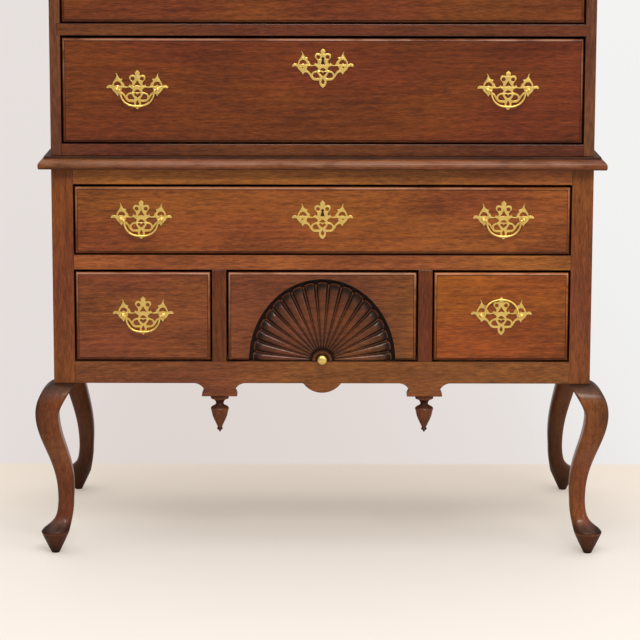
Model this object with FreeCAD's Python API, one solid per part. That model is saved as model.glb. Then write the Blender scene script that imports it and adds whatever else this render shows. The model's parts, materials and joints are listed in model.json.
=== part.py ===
"""Flat-top highboy: an upper chest of drawers standing on a lower case with cabriole legs.

Sizes are in millimetres.  +Z is up, the drawer fronts face -Y, and the finished parts have
their origin on the floor, at the centre of the whole object's box.  While a piece is being
modelled, y = 0 is the front plane of the two cases; export() moves it to the final origin.
"""
import FreeCAD
import Part
import os
from dataclasses import dataclass
from math import asin, cos, degrees, pi, radians, sin, sqrt

Vector = FreeCAD.Vector
ORIGIN = Vector(0, 0, 0)
ALONG_X = Vector(1, 0, 0)
ALONG_Y = Vector(0, 1, 0)
ALONG_Z = Vector(0, 0, 1)

# ---- the two cases ----
CASE_WIDTH = 1016.0
CASE_DEPTH = 490.0
CASE_SIDE = 20.0
BACK_BOARD = 13.0
TENON_LENGTH = 16.0
TENON_THICKNESS = 8.0
TENON_SHOULDER = 6.0

# ---- lower case ----
LEG_HEIGHT = 330.0
POST_WIDTH = 40.0
APRON_HEIGHT = 42.0
APRON_THICKNESS = 24.0
SMALL_OPENING_HEIGHT = 176.0
SMALL_OPENING_WIDTH = 260.0
DIVIDER_WIDTH = 27.0
MIDDLE_RAIL = 28.0
LONG_OPENING_HEIGHT = 134.0
TOP_RAIL = 30.0
TOP_RAIL_THICKNESS = 30.0
SIDE_ARCH_RISE = 16.0
SIDE_ARCH_START = 70.0

# ---- shaped apron ----
PENDANT_HALF_WIDTH = 36.0
PENDANT_DROP = 18.4
BRACKET_REACH = 51.0
BRACKET_NOTCH_HALF_WIDTH = 28.8
BRACKET_NOTCH_DROP = 13.6
BRACKET_FOOT_HALF_WIDTH = 33.4
BRACKET_DROP = 25.6
BRACKET_COVE_BULGE = -0.16
BRACKET_EAR_BULGE = 0.14
DROP_BLOCK_THICKNESS = 18.0

# ---- turned drop under each bracket ----
DROP_LENGTH = 71.5
DROP_RADIUS = 18.0
DROP_PROFILE = (
    (1, 0), (1, 0.08), (0.66, 0.12), (0.42, 0.2), (0.45, 0.235), (0.8, 0.3), (1, 0.35),
    (0.97, 0.39), (0.8, 0.55), (0.53, 0.7), (0.26, 0.85), (0.3, 0.905), (0.02, 1),
)
DROP_DOWEL_RADIUS = 4.5
DROP_DOWEL_LENGTH = 14.0

# ---- facets of round work, and how far cutting shapes overshoot ----
TURNED_SIDES = 12
ROD_SIDES = 8
CUT_MARGIN = 1.0

# ---- cabriole legs ----
KNEE_OUT = 34.0
KNEE_WIDTH = 43.5
KNEE_BELOW_CASE = 55.0
KNEE_SHOULDER = 1.0
ANKLE_WIDTH = 29.5
ANKLE_SETBACK = 3.5
ANKLE_HEIGHT = 98.0
CALF_POWER = 1.2
FOOT_RADIUS = 26.3
FOOT_CENTRE_OUT = 1.6
FOOT_HEIGHT = 40.0
FOOT_SWELL_SHARE = 0.265
FOOT_SWELL_POWER = 2.2
KNEE_BACK_POWER = 1.25
PAD_RADIUS = 12.0
FOOT_ROUND_SHARE = 0.97
ANKLE_ROUND_SHARE = 0.6
KNEE_ROUND_SHARE = 0.1
LEG_CORNER_STEPS = 2

# ---- waist moulding between the cases ----
WAIST_HEIGHT = 24.0
WAIST_PROJECTION = 23.0
WAIST_FILLET = 4.8
WAIST_SETBACK = 10.0
WAIST_LIP = 2.0
WAIST_NOSE_BULGE = 0.13
WAIST_LAP = 30.0

# ---- upper case ----
UPPER_BOTTOM_BOARD = 22.0
UPPER_RAIL = 22.0
UPPER_RAIL_DEPTH = 60.0
UPPER_LONG_HEIGHTS = (202.0, 182.0, 162.0)
UPPER_SHORT_HEIGHT = 142.0
FRIEZE_HEIGHT = 72.0
FRIEZE_THICKNESS = 20.0
TOP_BOARD = 18.0
HOUSING_DEPTH = 6.0

# ---- cornice ----
CORNICE_HEIGHT = 66.0
CORNICE_PROJECTION = 45.0
CORNICE_TOP_FILLET = 13.0
CORNICE_COVE_PROJECTION = 22.0
CORNICE_COVE_SHARE = 0.58
CORNICE_BEAD = 5.0
CORNICE_STEP = 4.0
CORNICE_BULGE = 0.13

# ---- runners and guides ----
RUNNER_WIDTH = 30.0
RUNNER_HEIGHT = 20.0
GUIDE_HEIGHT = 20.0

# ---- drawers ----
SIDE_GAP = 3.0
TOP_GAP = 4.5
BOTTOM_GAP = 2.0
FRONT_THICKNESS = 22.0
SHELL_FRONT_THICKNESS = 30.0
THUMBNAIL_WIDTH = 5.0
THUMBNAIL_STEP = 0.5
FIELD_PROUD = 1.0
DRAWER_SIDE = 12.0
DRAWER_BOTTOM = 8.0
DRAWER_BOTTOM_LIFT = 8.0
DRAWER_SIDE_DROP = 12.0
DRAWER_BACK_GAP = 16.0

# ---- carved shell ----
SHELL_HALF_WIDTH = 138.5
SHELL_HEIGHT = 156.7
SHELL_MARGIN = 8.0
SHELL_DEPTH = 13.0
SHELL_CREST_DEPTH = 4.0
SHELL_SIDE_LOBES = 9
SHELL_LOBE_PITCH = 9.73
SHELL_LOBE_OVERLAP = 1.03
SHELL_LOBE_SIDES = 8
SHELL_LOBE_TIP_TURNS = (0.2 * pi, 0.34 * pi, 0.47 * pi)
SHELL_ROOT_SHARE = 0.7
SHELL_BOSS_RADIUS = 21.0
SHELL_BOSS_RISE = 6.0
KNOB_RADIUS = 9.4
KNOB_REACH = 20.0
KNOB_FOOT_RADIUS = 6.4
KNOB_NECK_RADIUS = 4.0
KNOB_NECK_REACH = 6.0
KNOB_DOME = 6.0
KNOB_DOME_TURNS = (0.125 * pi, 0.25 * pi, 0.43 * pi)
KNOB_ABOVE_EDGE = 4.0

# ---- brasses ----
PULL_BORING = 76.2
PLATE_THICKNESS = 1.5
POST_RADIUS = 2.7
POST_NOSE_SHARE = 0.45
SHANK_RADIUS = 2.0
PIVOT_STANDOFF = 10.0
PIN_RADIUS = 1.15
PIN_CLEARANCE = 0.08
BAIL_WIRE_RADIUS = 1.9
BAIL_SIDE_GAP = 1.7
BAIL_WIRE_SIDES = 6
BAIL_STEPS = 10
BAIL_PLATE_GAP = 0.6
NUT_WIDTH = 9.0
NUT_THICKNESS = 4.0
PULL_RISE = 3.0
UPPER_PULL_INSET = 143.0
LOWER_PULL_INSET = 128.0
KEYHOLE_DROP = 54.0

# ---- heights and places worked out from the sizes above ----
HALF_WIDTH = CASE_WIDTH / 2
POST_INNER = HALF_WIDTH - POST_WIDTH
SIDE_INNER = HALF_WIDTH - CASE_SIDE
REAR_POST_FRONT = CASE_DEPTH - POST_WIDTH
BACK_FACE = CASE_DEPTH - BACK_BOARD
SMALL_BOTTOM = LEG_HEIGHT + APRON_HEIGHT
MIDDLE_RAIL_BOTTOM = SMALL_BOTTOM + SMALL_OPENING_HEIGHT
LONG_BOTTOM = MIDDLE_RAIL_BOTTOM + MIDDLE_RAIL
TOP_RAIL_BOTTOM = LONG_BOTTOM + LONG_OPENING_HEIGHT
WAIST_BOTTOM = TOP_RAIL_BOTTOM + TOP_RAIL
UPPER_BOTTOM = WAIST_BOTTOM + WAIST_HEIGHT
DIVIDER_CENTRE = POST_INNER - SMALL_OPENING_WIDTH - DIVIDER_WIDTH / 2
CENTRE_HALF_OPENING = DIVIDER_CENTRE - DIVIDER_WIDTH / 2
SHORT_BOTTOM = UPPER_BOTTOM + UPPER_BOTTOM_BOARD + sum(UPPER_LONG_HEIGHTS) + 3 * UPPER_RAIL
FRIEZE_BOTTOM = SHORT_BOTTOM + UPPER_SHORT_HEIGHT
TOP_BOARD_BOTTOM = FRIEZE_BOTTOM + FRIEZE_HEIGHT
TOTAL_HEIGHT = TOP_BOARD_BOTTOM + TOP_BOARD
BRACKET_BOTTOM = LEG_HEIGHT - BRACKET_DROP
KNEE_HEIGHT = LEG_HEIGHT - KNEE_BELOW_CASE
LEG_TOP = LEG_HEIGHT + KNEE_SHOULDER
DROP_SETBACK = APRON_THICKNESS / 2
HALF_BORING = PULL_BORING / 2
BAIL_RADIUS = HALF_BORING - POST_RADIUS - BAIL_SIDE_GAP - BAIL_WIRE_RADIUS
PIVOT_Y = -FIELD_PROUD - PIVOT_STANDOFF
FRONT_REACH = max(KNEE_OUT, CORNICE_PROJECTION, WAIST_PROJECTION)
BACK_REACH = CASE_DEPTH + KNEE_OUT
SHIFT_Y = (FRONT_REACH - BACK_REACH) / 2
BAIL_SWING_ROOM = PIVOT_STANDOFF - BAIL_WIRE_RADIUS - PLATE_THICKNESS - BAIL_PLATE_GAP
BAIL_LEAN = degrees(asin(BAIL_SWING_ROOM / BAIL_RADIUS))
BAIL_SWING = 180.0 + BAIL_LEAN


# ---- small helpers ----
def box(x0, x1, y0, y1, z0, z1):
    """A box between two corners."""
    return Part.makeBox(x1 - x0, y1 - y0, z1 - z0, Vector(x0, y0, z0))


def mirror_x(shape):
    """The same shape on the other side of x = 0."""
    return shape.mirror(ORIGIN, ALONG_X)


def mirror_depth(shape):
    """The same shape at the other end of the case's depth."""
    return shape.mirror(Vector(0, CASE_DEPTH / 2, 0), ALONG_Y)


def both_sides(shape):
    """A shape and its mirror image, as a list."""
    return [shape, mirror_x(shape)]


def lines(*points):
    """Straight segments through the points."""
    return list(zip(points, points[1:]))


def arc(start, end, bulge):
    """An arc segment whose middle stands off its chord, to the left, by bulge times the chord."""
    (x0, z0), (x1, z1) = start, end
    middle = ((x0 + x1) / 2 - (z1 - z0) * bulge, (z0 + z1) / 2 + (x1 - x0) * bulge)
    return [(start, middle, end)]


def with_left_half(segments):
    """A right half drawn from top to bottom, and the mirrored left half that closes it."""
    left = [tuple((-x, z) for x, z in reversed(segment)) for segment in reversed(segments)]
    return segments + left


def face(segments, place):
    """A flat face from segments of two points (a line) or three (an arc)."""
    edges = []
    for segment in segments:
        ends = [place(*point) for point in segment]
        if len(ends) == 2:
            edges.append(Part.makeLine(*ends))
        else:
            edges.append(Part.Arc(*ends).toShape())
    return Part.Face(Part.Wire(edges))


def front_slab(segments, y0, y1):
    """An outline in x and z, made solid from y0 back to y1."""
    return face(segments, lambda x, z: Vector(x, y0, z)).extrude(Vector(0, y1 - y0, 0))


def ring(radius, sides, height=0.0):
    """The corners of a level regular polygon about the z axis."""
    turns = [(step + 0.5) * 2 * pi / sides for step in range(sides)]
    return [Vector(radius * cos(turn), radius * sin(turn), height) for turn in turns]


def skin(rings, warped=False):
    """A solid whose flat facets join each ring of corners to the next; warped ones are halved."""
    facets = [rings[0], rings[-1]]
    for low, high in zip(rings, rings[1:]):
        for step in range(len(low)):
            corners = [low[step - 1], low[step], high[step], high[step - 1]]
            facets += [corners[:3], corners[2:] + corners[:1]] if warped else [corners]
    faces = [Part.Face(Part.makePolygon(corners + corners[:1])) for corners in facets]
    solid = Part.makeSolid(Part.makeShell(faces))
    if solid.Volume < 0:
        solid.reverse()
    return solid


def turned(outline, sides=TURNED_SIDES):
    """A turned piece about the z axis, from its (radius, height) outline."""
    return skin([ring(radius, sides, height) for radius, height in outline])


def rod(radius, y0, y1):
    """A rod along y, centred on x = z = 0."""
    return skin([[Vector(p.x, y, p.y) for p in ring(radius, ROD_SIDES)] for y in (y0, y1)])


def cross_rod(radius, x0, x1):
    """A rod along x, centred on y = z = 0."""
    return skin([[Vector(x, p.x, p.y) for p in ring(radius, ROD_SIDES)] for x in (x0, x1)])


def export(name, solids):
    """Write one sub-part, moved to the object's final origin."""
    shape = Part.Compound(solids) if len(solids) > 1 else solids[0]
    shape.translate(Vector(0, SHIFT_Y, 0))
    shape.exportStep(os.path.join("parts", name + ".step"))


# ---- cabriole leg ----
def leg_faces(z):
    """How far the leg reaches outside the case's faces, and inside them, at one height."""
    foot_out = FOOT_RADIUS + FOOT_CENTRE_OUT
    foot_in = FOOT_RADIUS - FOOT_CENTRE_OUT
    ankle_in = ANKLE_WIDTH + ANKLE_SETBACK
    knee_in = KNEE_WIDTH - KNEE_OUT
    if z <= ANKLE_HEIGHT:
        rise = (z - FOOT_HEIGHT) / (ANKLE_HEIGHT - FOOT_HEIGHT)
        bell = 1 / (1 + (rise / FOOT_SWELL_SHARE) ** FOOT_SWELL_POWER)
        end = 1 / (1 + (1 / FOOT_SWELL_SHARE) ** FOOT_SWELL_POWER)
        swell = (bell - end) / (1 - end)
        out = -ANKLE_SETBACK + (foot_out + ANKLE_SETBACK) * swell
        return out, foot_in + (ankle_in - foot_in) * sin(pi * rise / 2)
    if z <= KNEE_HEIGHT:
        rise = ((z - ANKLE_HEIGHT) / (KNEE_HEIGHT - ANKLE_HEIGHT)) ** CALF_POWER
        out = -ANKLE_SETBACK + (KNEE_OUT + ANKLE_SETBACK) * (1 - cos(pi * rise)) / 2
        width = ANKLE_WIDTH + (KNEE_WIDTH - ANKLE_WIDTH) * sin(pi * rise / 2)
        return out, width - out
    rise = (z - KNEE_HEIGHT) / (LEG_TOP - KNEE_HEIGHT)
    out = KNEE_OUT * sqrt(max(0.0, 1 - rise * rise))
    return out, knee_in + (POST_WIDTH - knee_in) * rise ** KNEE_BACK_POWER


def leg_roundness(z):
    """Corner radius as a share of half the leg's width: nearly round at the foot, squarer above."""
    if z <= ANKLE_HEIGHT:
        rise = (z - FOOT_HEIGHT) / (ANKLE_HEIGHT - FOOT_HEIGHT)
        return FOOT_ROUND_SHARE - (FOOT_ROUND_SHARE - ANKLE_ROUND_SHARE) * sin(pi * rise / 2)
    rise = (z - ANKLE_HEIGHT) / (LEG_TOP - ANKLE_HEIGHT)
    return ANKLE_ROUND_SHARE - (ANKLE_ROUND_SHARE - KNEE_ROUND_SHARE) * rise ** 3


def leg_section(z):
    """The section of the right front leg at one height: a square with its corners rounded off."""
    out, inside = leg_faces(z)
    half = (out + inside) / 2
    centre = Vector(HALF_WIDTH + out - half, half - out, z)
    r = leg_roundness(z) * half
    points = []
    for quarter in range(4):
        corner = quarter * pi / 2 + pi / 4
        middle = Vector(cos(corner), sin(corner), 0) * (half - r) / cos(pi / 4)
        for step in range(LEG_CORNER_STEPS + 1):
            turn = corner - pi / 4 + step * pi / 2 / LEG_CORNER_STEPS
            points.append(centre + middle + Vector(cos(turn), sin(turn), 0) * r)
    return points


def leg_heights():
    """Heights of the leg's sections, closer together where its curves are tighter."""
    foot = [FOOT_HEIGHT + (ANKLE_HEIGHT - FOOT_HEIGHT) * s for s in (0, 0.09, 0.2, 0.35, 0.6, 1)]
    shaft = [ANKLE_HEIGHT + (KNEE_HEIGHT - ANKLE_HEIGHT) * s for s in (0.18, 0.36, 0.54, 0.76, 1)]
    knee = [KNEE_HEIGHT + (LEG_TOP - KNEE_HEIGHT) * s for s in (0.35, 0.6, 0.8, 0.93, 1)]
    return foot + shaft + knee


def front_right_leg():
    """One corner post with its cabriole leg and pad foot, cut from one piece of wood."""
    post = box(POST_INNER, HALF_WIDTH, 0, POST_WIDTH, LEG_HEIGHT, WAIST_BOTTOM)
    centre = Vector(HALF_WIDTH + FOOT_CENTRE_OUT, -FOOT_CENTRE_OUT, 0)
    rim = [Vector(p.x, p.y, 0) for p in leg_section(FOOT_HEIGHT)]
    sole = [centre + (p - centre) * (PAD_RADIUS / FOOT_RADIUS) for p in rim]
    curve = skin([sole] + [leg_section(z) for z in leg_heights()], True)
    return post.fuse(curve).removeSplitter()


# ---- lower case ----
def front_apron():
    """Shaped front apron with a centre pendant and a bracket under each divider."""
    z0, top = LEG_HEIGHT, SMALL_BOTTOM
    c = DIVIDER_CENTRE
    notch, foot = BRACKET_NOTCH_HALF_WIDTH, BRACKET_FOOT_HALF_WIDTH
    notch_z, foot_z = z0 - BRACKET_NOTCH_DROP, BRACKET_BOTTOM
    right = lines((0, top), (POST_INNER, top), (POST_INNER, z0), (c + BRACKET_REACH, z0))
    right += arc((c + BRACKET_REACH, z0), (c + notch, notch_z), BRACKET_COVE_BULGE)
    right += arc((c + notch, notch_z), (c + foot, foot_z), BRACKET_EAR_BULGE)
    right += lines((c + foot, foot_z), (c - foot, foot_z))
    right += arc((c - foot, foot_z), (c - notch, notch_z), BRACKET_EAR_BULGE)
    right += arc((c - notch, notch_z), (c - BRACKET_REACH, z0), BRACKET_COVE_BULGE)
    right += lines((c - BRACKET_REACH, z0), (PENDANT_HALF_WIDTH, z0))
    radius = (PENDANT_HALF_WIDTH ** 2 + PENDANT_DROP ** 2) / (2 * PENDANT_DROP)
    side_x = PENDANT_HALF_WIDTH / 2
    side_z = z0 - PENDANT_DROP + radius - sqrt(radius ** 2 - side_x ** 2)
    right += [((PENDANT_HALF_WIDTH, z0), (side_x, side_z), (0, z0 - PENDANT_DROP))]
    board = front_slab(with_left_half(right), 0, APRON_THICKNESS)
    tenon = rail_tenon(z0 + TENON_SHOULDER, top - TENON_SHOULDER, APRON_THICKNESS)
    return board.fuse(both_sides(tenon))


def rail_tenon(z0, z1, thickness):
    """The tenon at a front rail's right-hand end, in the middle of its thickness."""
    y0 = (thickness - TENON_THICKNESS) / 2
    return box(POST_INNER, POST_INNER + TENON_LENGTH, y0, y0 + TENON_THICKNESS, z0, z1)


def drop_block():
    """The block behind the right-hand bracket that thickens the seat of its drop."""
    x0 = DIVIDER_CENTRE - BRACKET_NOTCH_HALF_WIDTH
    x1 = DIVIDER_CENTRE + BRACKET_NOTCH_HALF_WIDTH
    y1 = APRON_THICKNESS + DROP_BLOCK_THICKNESS
    return box(x0, x1, APRON_THICKNESS, y1, BRACKET_BOTTOM, SMALL_BOTTOM - RUNNER_HEIGHT)


def front_rail(z0, z1, depth):
    """A straight rail between the front posts, with a tenon at each end."""
    tenon = rail_tenon(z0 + TENON_SHOULDER, z1 - TENON_SHOULDER, depth)
    return box(-POST_INNER, POST_INNER, 0, depth, z0, z1).fuse(both_sides(tenon))


def drawer_divider():
    """The right-hand upright between the small drawers, stub-tenoned above and below."""
    x0, x1 = DIVIDER_CENTRE - DIVIDER_WIDTH / 2, DIVIDER_CENTRE + DIVIDER_WIDTH / 2
    upright = box(x0, x1, 0, POST_WIDTH, SMALL_BOTTOM, MIDDLE_RAIL_BOTTOM)
    y0 = (APRON_THICKNESS - TENON_THICKNESS) / 2
    z0, z1 = SMALL_BOTTOM - HOUSING_DEPTH, MIDDLE_RAIL_BOTTOM + HOUSING_DEPTH
    stub = box(x0 + TENON_SHOULDER, x1 - TENON_SHOULDER, y0, y0 + TENON_THICKNESS, z0, z1)
    return upright.fuse(stub)


def base_side():
    """The right-hand side board, tenoned into both posts, with an arched lower edge."""
    board = box(SIDE_INNER, HALF_WIDTH, POST_WIDTH, REAR_POST_FRONT, LEG_HEIGHT, WAIST_BOTTOM)
    x0 = HALF_WIDTH - CASE_SIDE / 2 - TENON_THICKNESS / 2
    y0, y1 = POST_WIDTH - TENON_LENGTH, REAR_POST_FRONT + TENON_LENGTH
    tenons = box(x0, x0 + TENON_THICKNESS, y0, y1, LEG_HEIGHT + POST_WIDTH, WAIST_BOTTOM - POST_WIDTH)
    start, end = POST_WIDTH + SIDE_ARCH_START, REAR_POST_FRONT - SIDE_ARCH_START
    peak = ((start + end) / 2, LEG_HEIGHT + SIDE_ARCH_RISE)
    arch = [((start, LEG_HEIGHT), peak, (end, LEG_HEIGHT))]
    low = LEG_HEIGHT - CUT_MARGIN
    arch += lines((end, LEG_HEIGHT), (end, low), (start, low), (start, LEG_HEIGHT))
    cutter = face(arch, lambda y, z: Vector(SIDE_INNER, y, z)).extrude(Vector(CASE_SIDE, 0, 0))
    return board.fuse(tenons).cut(cutter)


def base_back():
    """The lower back panel between the rear posts, rising to the underside of the upper case."""
    panel = box(-POST_INNER, POST_INNER, BACK_FACE, CASE_DEPTH, LEG_HEIGHT + TENON_SHOULDER, WAIST_BOTTOM)
    lap = HALF_WIDTH - WAIST_LAP
    head = box(-lap, lap, BACK_FACE, CASE_DEPTH, WAIST_BOTTOM, UPPER_BOTTOM)
    y0 = BACK_FACE + (BACK_BOARD - TENON_THICKNESS) / 2
    z0, z1 = LEG_HEIGHT + POST_WIDTH, WAIST_BOTTOM - POST_WIDTH
    reach = POST_INNER + TENON_LENGTH
    tongue = box(-reach, reach, y0, y0 + TENON_THICKNESS, z0, z1)
    return panel.fuse([head, tongue]).removeSplitter()


def drop_finial():
    """The turned drop under the right-hand bracket, with the dowel that holds it."""
    outline = [(DROP_RADIUS * r, BRACKET_BOTTOM - DROP_LENGTH * down) for r, down in DROP_PROFILE]
    ends = (BRACKET_BOTTOM, BRACKET_BOTTOM + DROP_DOWEL_LENGTH)
    drop = turned(outline).fuse(turned([(DROP_DOWEL_RADIUS, z) for z in ends], ROD_SIDES))
    drop.translate(Vector(DIVIDER_CENTRE, DROP_SETBACK, 0))
    return drop


def base_runners():
    """Runners and guides that carry the lower drawers on the right-hand side."""
    pieces = []
    inner = POST_INNER - RUNNER_WIDTH
    for top, front in ((SMALL_BOTTOM, APRON_THICKNESS), (LONG_BOTTOM, POST_WIDTH)):
        low = top - RUNNER_HEIGHT
        pieces.append(box(inner, POST_INNER, front, BACK_FACE, low, top))
        pieces.append(box(POST_INNER, SIDE_INNER, POST_WIDTH, REAR_POST_FRONT, low, top + GUIDE_HEIGHT))
    x0, x1 = DIVIDER_CENTRE - DIVIDER_WIDTH / 2, DIVIDER_CENTRE + DIVIDER_WIDTH / 2
    low = SMALL_BOTTOM - RUNNER_HEIGHT
    half = RUNNER_WIDTH / 2
    pieces.append(box(x0 - half, x1 + half, APRON_THICKNESS, BACK_FACE, low, SMALL_BOTTOM))
    pieces.append(box(x0, x1, POST_WIDTH, BACK_FACE, SMALL_BOTTOM, SMALL_BOTTOM + GUIDE_HEIGHT))
    return pieces


# ---- mouldings ----
def mitred_returns(profile, lap):
    """A moulding mitred round the front and both sides, from its (projection, height) profile."""
    out = max(p for segment in profile for p, z in segment) + CUT_MARGIN
    reach = HALF_WIDTH + out
    depth = lap + CUT_MARGIN
    inner = HALF_WIDTH - depth
    corners = [(-inner, depth), (inner, depth), (reach, -out), (-reach, -out)]
    wedge = Part.Face(Part.makePolygon([Vector(x, y, 0) for x, y in corners + corners[:1]]))
    wedge = wedge.extrude(Vector(0, 0, TOTAL_HEIGHT + CUT_MARGIN))
    front = face(profile, lambda p, z: Vector(-reach, -p, z))
    front = front.extrude(Vector(2 * reach, 0, 0)).common(wedge)
    side = face(profile, lambda p, z: Vector(HALF_WIDTH + p, -out, z))
    side = side.extrude(Vector(0, out + CASE_DEPTH, 0)).cut(wedge)
    return [front] + both_sides(side)


def waist_moulding():
    """The moulded frame that tops the lower case and receives the upper one."""
    nose, fillet_out = WAIST_PROJECTION, WAIST_PROJECTION - WAIST_SETBACK
    low, lip, top = WAIST_BOTTOM, WAIST_BOTTOM + WAIST_LIP, UPPER_BOTTOM
    fillet_z = top - WAIST_FILLET
    profile = lines((-WAIST_LAP, low), (nose, low), (nose, lip))
    profile += arc((nose, lip), (fillet_out, fillet_z), -WAIST_NOSE_BULGE)
    profile += lines((fillet_out, fillet_z), (fillet_out, top), (-WAIST_LAP, top), (-WAIST_LAP, low))
    return mitred_returns(profile, WAIST_LAP)


def cornice_moulding():
    """Cornice with a cove below, a fillet, and an ovolo under the top edge."""
    top, low = TOTAL_HEIGHT, TOTAL_HEIGHT - CORNICE_HEIGHT
    nose, cove = CORNICE_PROJECTION, CORNICE_COVE_PROJECTION
    bead, step = CORNICE_BEAD, CORNICE_STEP
    ovolo_top = top - CORNICE_TOP_FILLET
    ovolo_low = low + (ovolo_top - low) * CORNICE_COVE_SHARE
    profile = lines((0, low), (bead, low), (bead, low + bead))
    profile += arc((bead, low + bead), (cove, ovolo_low - step), CORNICE_BULGE)
    profile += lines((cove, ovolo_low - step), (cove + step, ovolo_low - step), (cove + step, ovolo_low))
    profile += arc((cove + step, ovolo_low), (nose - step, ovolo_top), -CORNICE_BULGE)
    profile += lines((nose - step, ovolo_top), (nose, ovolo_top), (nose, top), (0, top), (0, low))
    return mitred_returns(profile, 0)


# ---- upper case ----
def upper_side():
    """The right-hand side of the upper case."""
    return box(SIDE_INNER, HALF_WIDTH, 0, CASE_DEPTH, UPPER_BOTTOM, TOP_BOARD_BOTTOM)


def upper_rail_heights():
    """Undersides of the three rails between the upper drawers, from the lowest up."""
    heights = []
    z = UPPER_BOTTOM + UPPER_BOTTOM_BOARD
    for height in UPPER_LONG_HEIGHTS:
        z += height
        heights.append(z)
        z += UPPER_RAIL
    return heights


def upper_rails():
    """Rails housed in the sides, the frieze rail, and the upright between the short drawers."""
    reach = SIDE_INNER + HOUSING_DEPTH
    rails = [box(-reach, reach, 0, UPPER_RAIL_DEPTH, z, z + UPPER_RAIL) for z in upper_rail_heights()]
    frieze = box(-SIDE_INNER, SIDE_INNER, 0, FRIEZE_THICKNESS, FRIEZE_BOTTOM, TOP_BOARD_BOTTOM)
    half = DIVIDER_WIDTH / 2
    upright = box(-half, half, 0, UPPER_RAIL_DEPTH, SHORT_BOTTOM, FRIEZE_BOTTOM)
    return rails + [frieze, upright]


def upper_runners():
    """Runners level with the upper rails, and the guide between the short drawers."""
    pieces = []
    inner = SIDE_INNER - RUNNER_WIDTH
    for z in upper_rail_heights():
        pieces += both_sides(box(inner, SIDE_INNER, UPPER_RAIL_DEPTH, BACK_FACE, z, z + UPPER_RAIL))
    half = DIVIDER_WIDTH / 2
    wide = half + RUNNER_WIDTH / 2
    pieces.append(box(-wide, wide, UPPER_RAIL_DEPTH, BACK_FACE, SHORT_BOTTOM - UPPER_RAIL, SHORT_BOTTOM))
    pieces.append(box(-half, half, UPPER_RAIL_DEPTH, BACK_FACE, SHORT_BOTTOM, SHORT_BOTTOM + GUIDE_HEIGHT))
    return pieces


# ---- drawers ----
@dataclass(frozen=True)
class Drawer:
    """One drawer: its opening in the case, and where its brasses sit."""

    name: str
    left: float
    right: float
    bottom: float
    top: float
    pulls: dict
    keyhole: bool = False
    keyhole_drop: float = KEYHOLE_DROP
    raised: bool = False
    thickness: float = FRONT_THICKNESS

    @property
    def x0(self):
        """Left end of the front."""
        return self.left + SIDE_GAP

    @property
    def x1(self):
        """Right end of the front."""
        return self.right - SIDE_GAP

    @property
    def z0(self):
        """Lower edge of the front."""
        return self.bottom + BOTTOM_GAP

    @property
    def z1(self):
        """Upper edge of the front."""
        return self.top - TOP_GAP

    @property
    def pull_z(self):
        """Height of the posts of the pulls."""
        return (self.z0 + self.z1) / 2 + PULL_RISE

    @property
    def keyhole_z(self):
        """Height of the middle of the keyhole plate."""
        return self.z1 - self.keyhole_drop


def drawers():
    """All the drawers, from the bottom of the highboy to its top."""
    row = (SMALL_BOTTOM, MIDDLE_RAIL_BOTTOM)
    side_left = POST_INNER - SMALL_OPENING_WIDTH
    side_centre = (side_left + POST_INNER) / 2
    centre = CENTRE_HALF_OPENING
    plan = [
        Drawer("shell_drawer", -centre, centre, *row, {}, thickness=SHELL_FRONT_THICKNESS),
        Drawer("lower_left_drawer", -POST_INNER, -side_left, *row, {"": -side_centre}),
        Drawer("lower_right_drawer", side_left, POST_INNER, *row, {"": side_centre}, raised=True),
    ]
    offset = POST_INNER - LOWER_PULL_INSET
    pair = {"_left": -offset, "_right": offset}
    plain_drop = (LONG_OPENING_HEIGHT - TOP_GAP - BOTTOM_GAP) / 2 - PULL_RISE
    row = (LONG_BOTTOM, TOP_RAIL_BOTTOM)
    plan.append(Drawer("lower_long_drawer", -POST_INNER, POST_INNER, *row, pair, True, plain_drop))
    offset = SIDE_INNER - UPPER_PULL_INSET
    pair = {"_left": -offset, "_right": offset}
    z = UPPER_BOTTOM + UPPER_BOTTOM_BOARD
    for name, height in zip(("deep", "middle", "shallow"), UPPER_LONG_HEIGHTS):
        plan.append(Drawer(f"upper_{name}_drawer", -SIDE_INNER, SIDE_INNER, z, z + height, pair, True))
        z += height + UPPER_RAIL
    inner = DIVIDER_WIDTH / 2
    middle = (inner + SIDE_INNER) / 2
    row = (SHORT_BOTTOM, FRIEZE_BOTTOM)
    plan.append(Drawer("top_left_drawer", -SIDE_INNER, -inner, *row, {"": -middle}))
    plan.append(Drawer("top_right_drawer", inner, SIDE_INNER, *row, {"": middle}))
    return plan


def plain_front(drawer):
    """A drawer front with a thumbnail moulding worked round its face."""
    slab = box(drawer.x0, drawer.x1, 0, drawer.thickness, drawer.z0, drawer.z1)
    rim = [edge for edge in slab.Edges if edge.BoundBox.YMax < THUMBNAIL_STEP]
    slab = slab.makeFillet(THUMBNAIL_WIDTH - THUMBNAIL_STEP, rim)
    w = THUMBNAIL_WIDTH
    field = box(drawer.x0 + w, drawer.x1 - w, -FIELD_PROUD, FIELD_PROUD, drawer.z0 + w, drawer.z1 - w)
    return slab.fuse(field)


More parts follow.
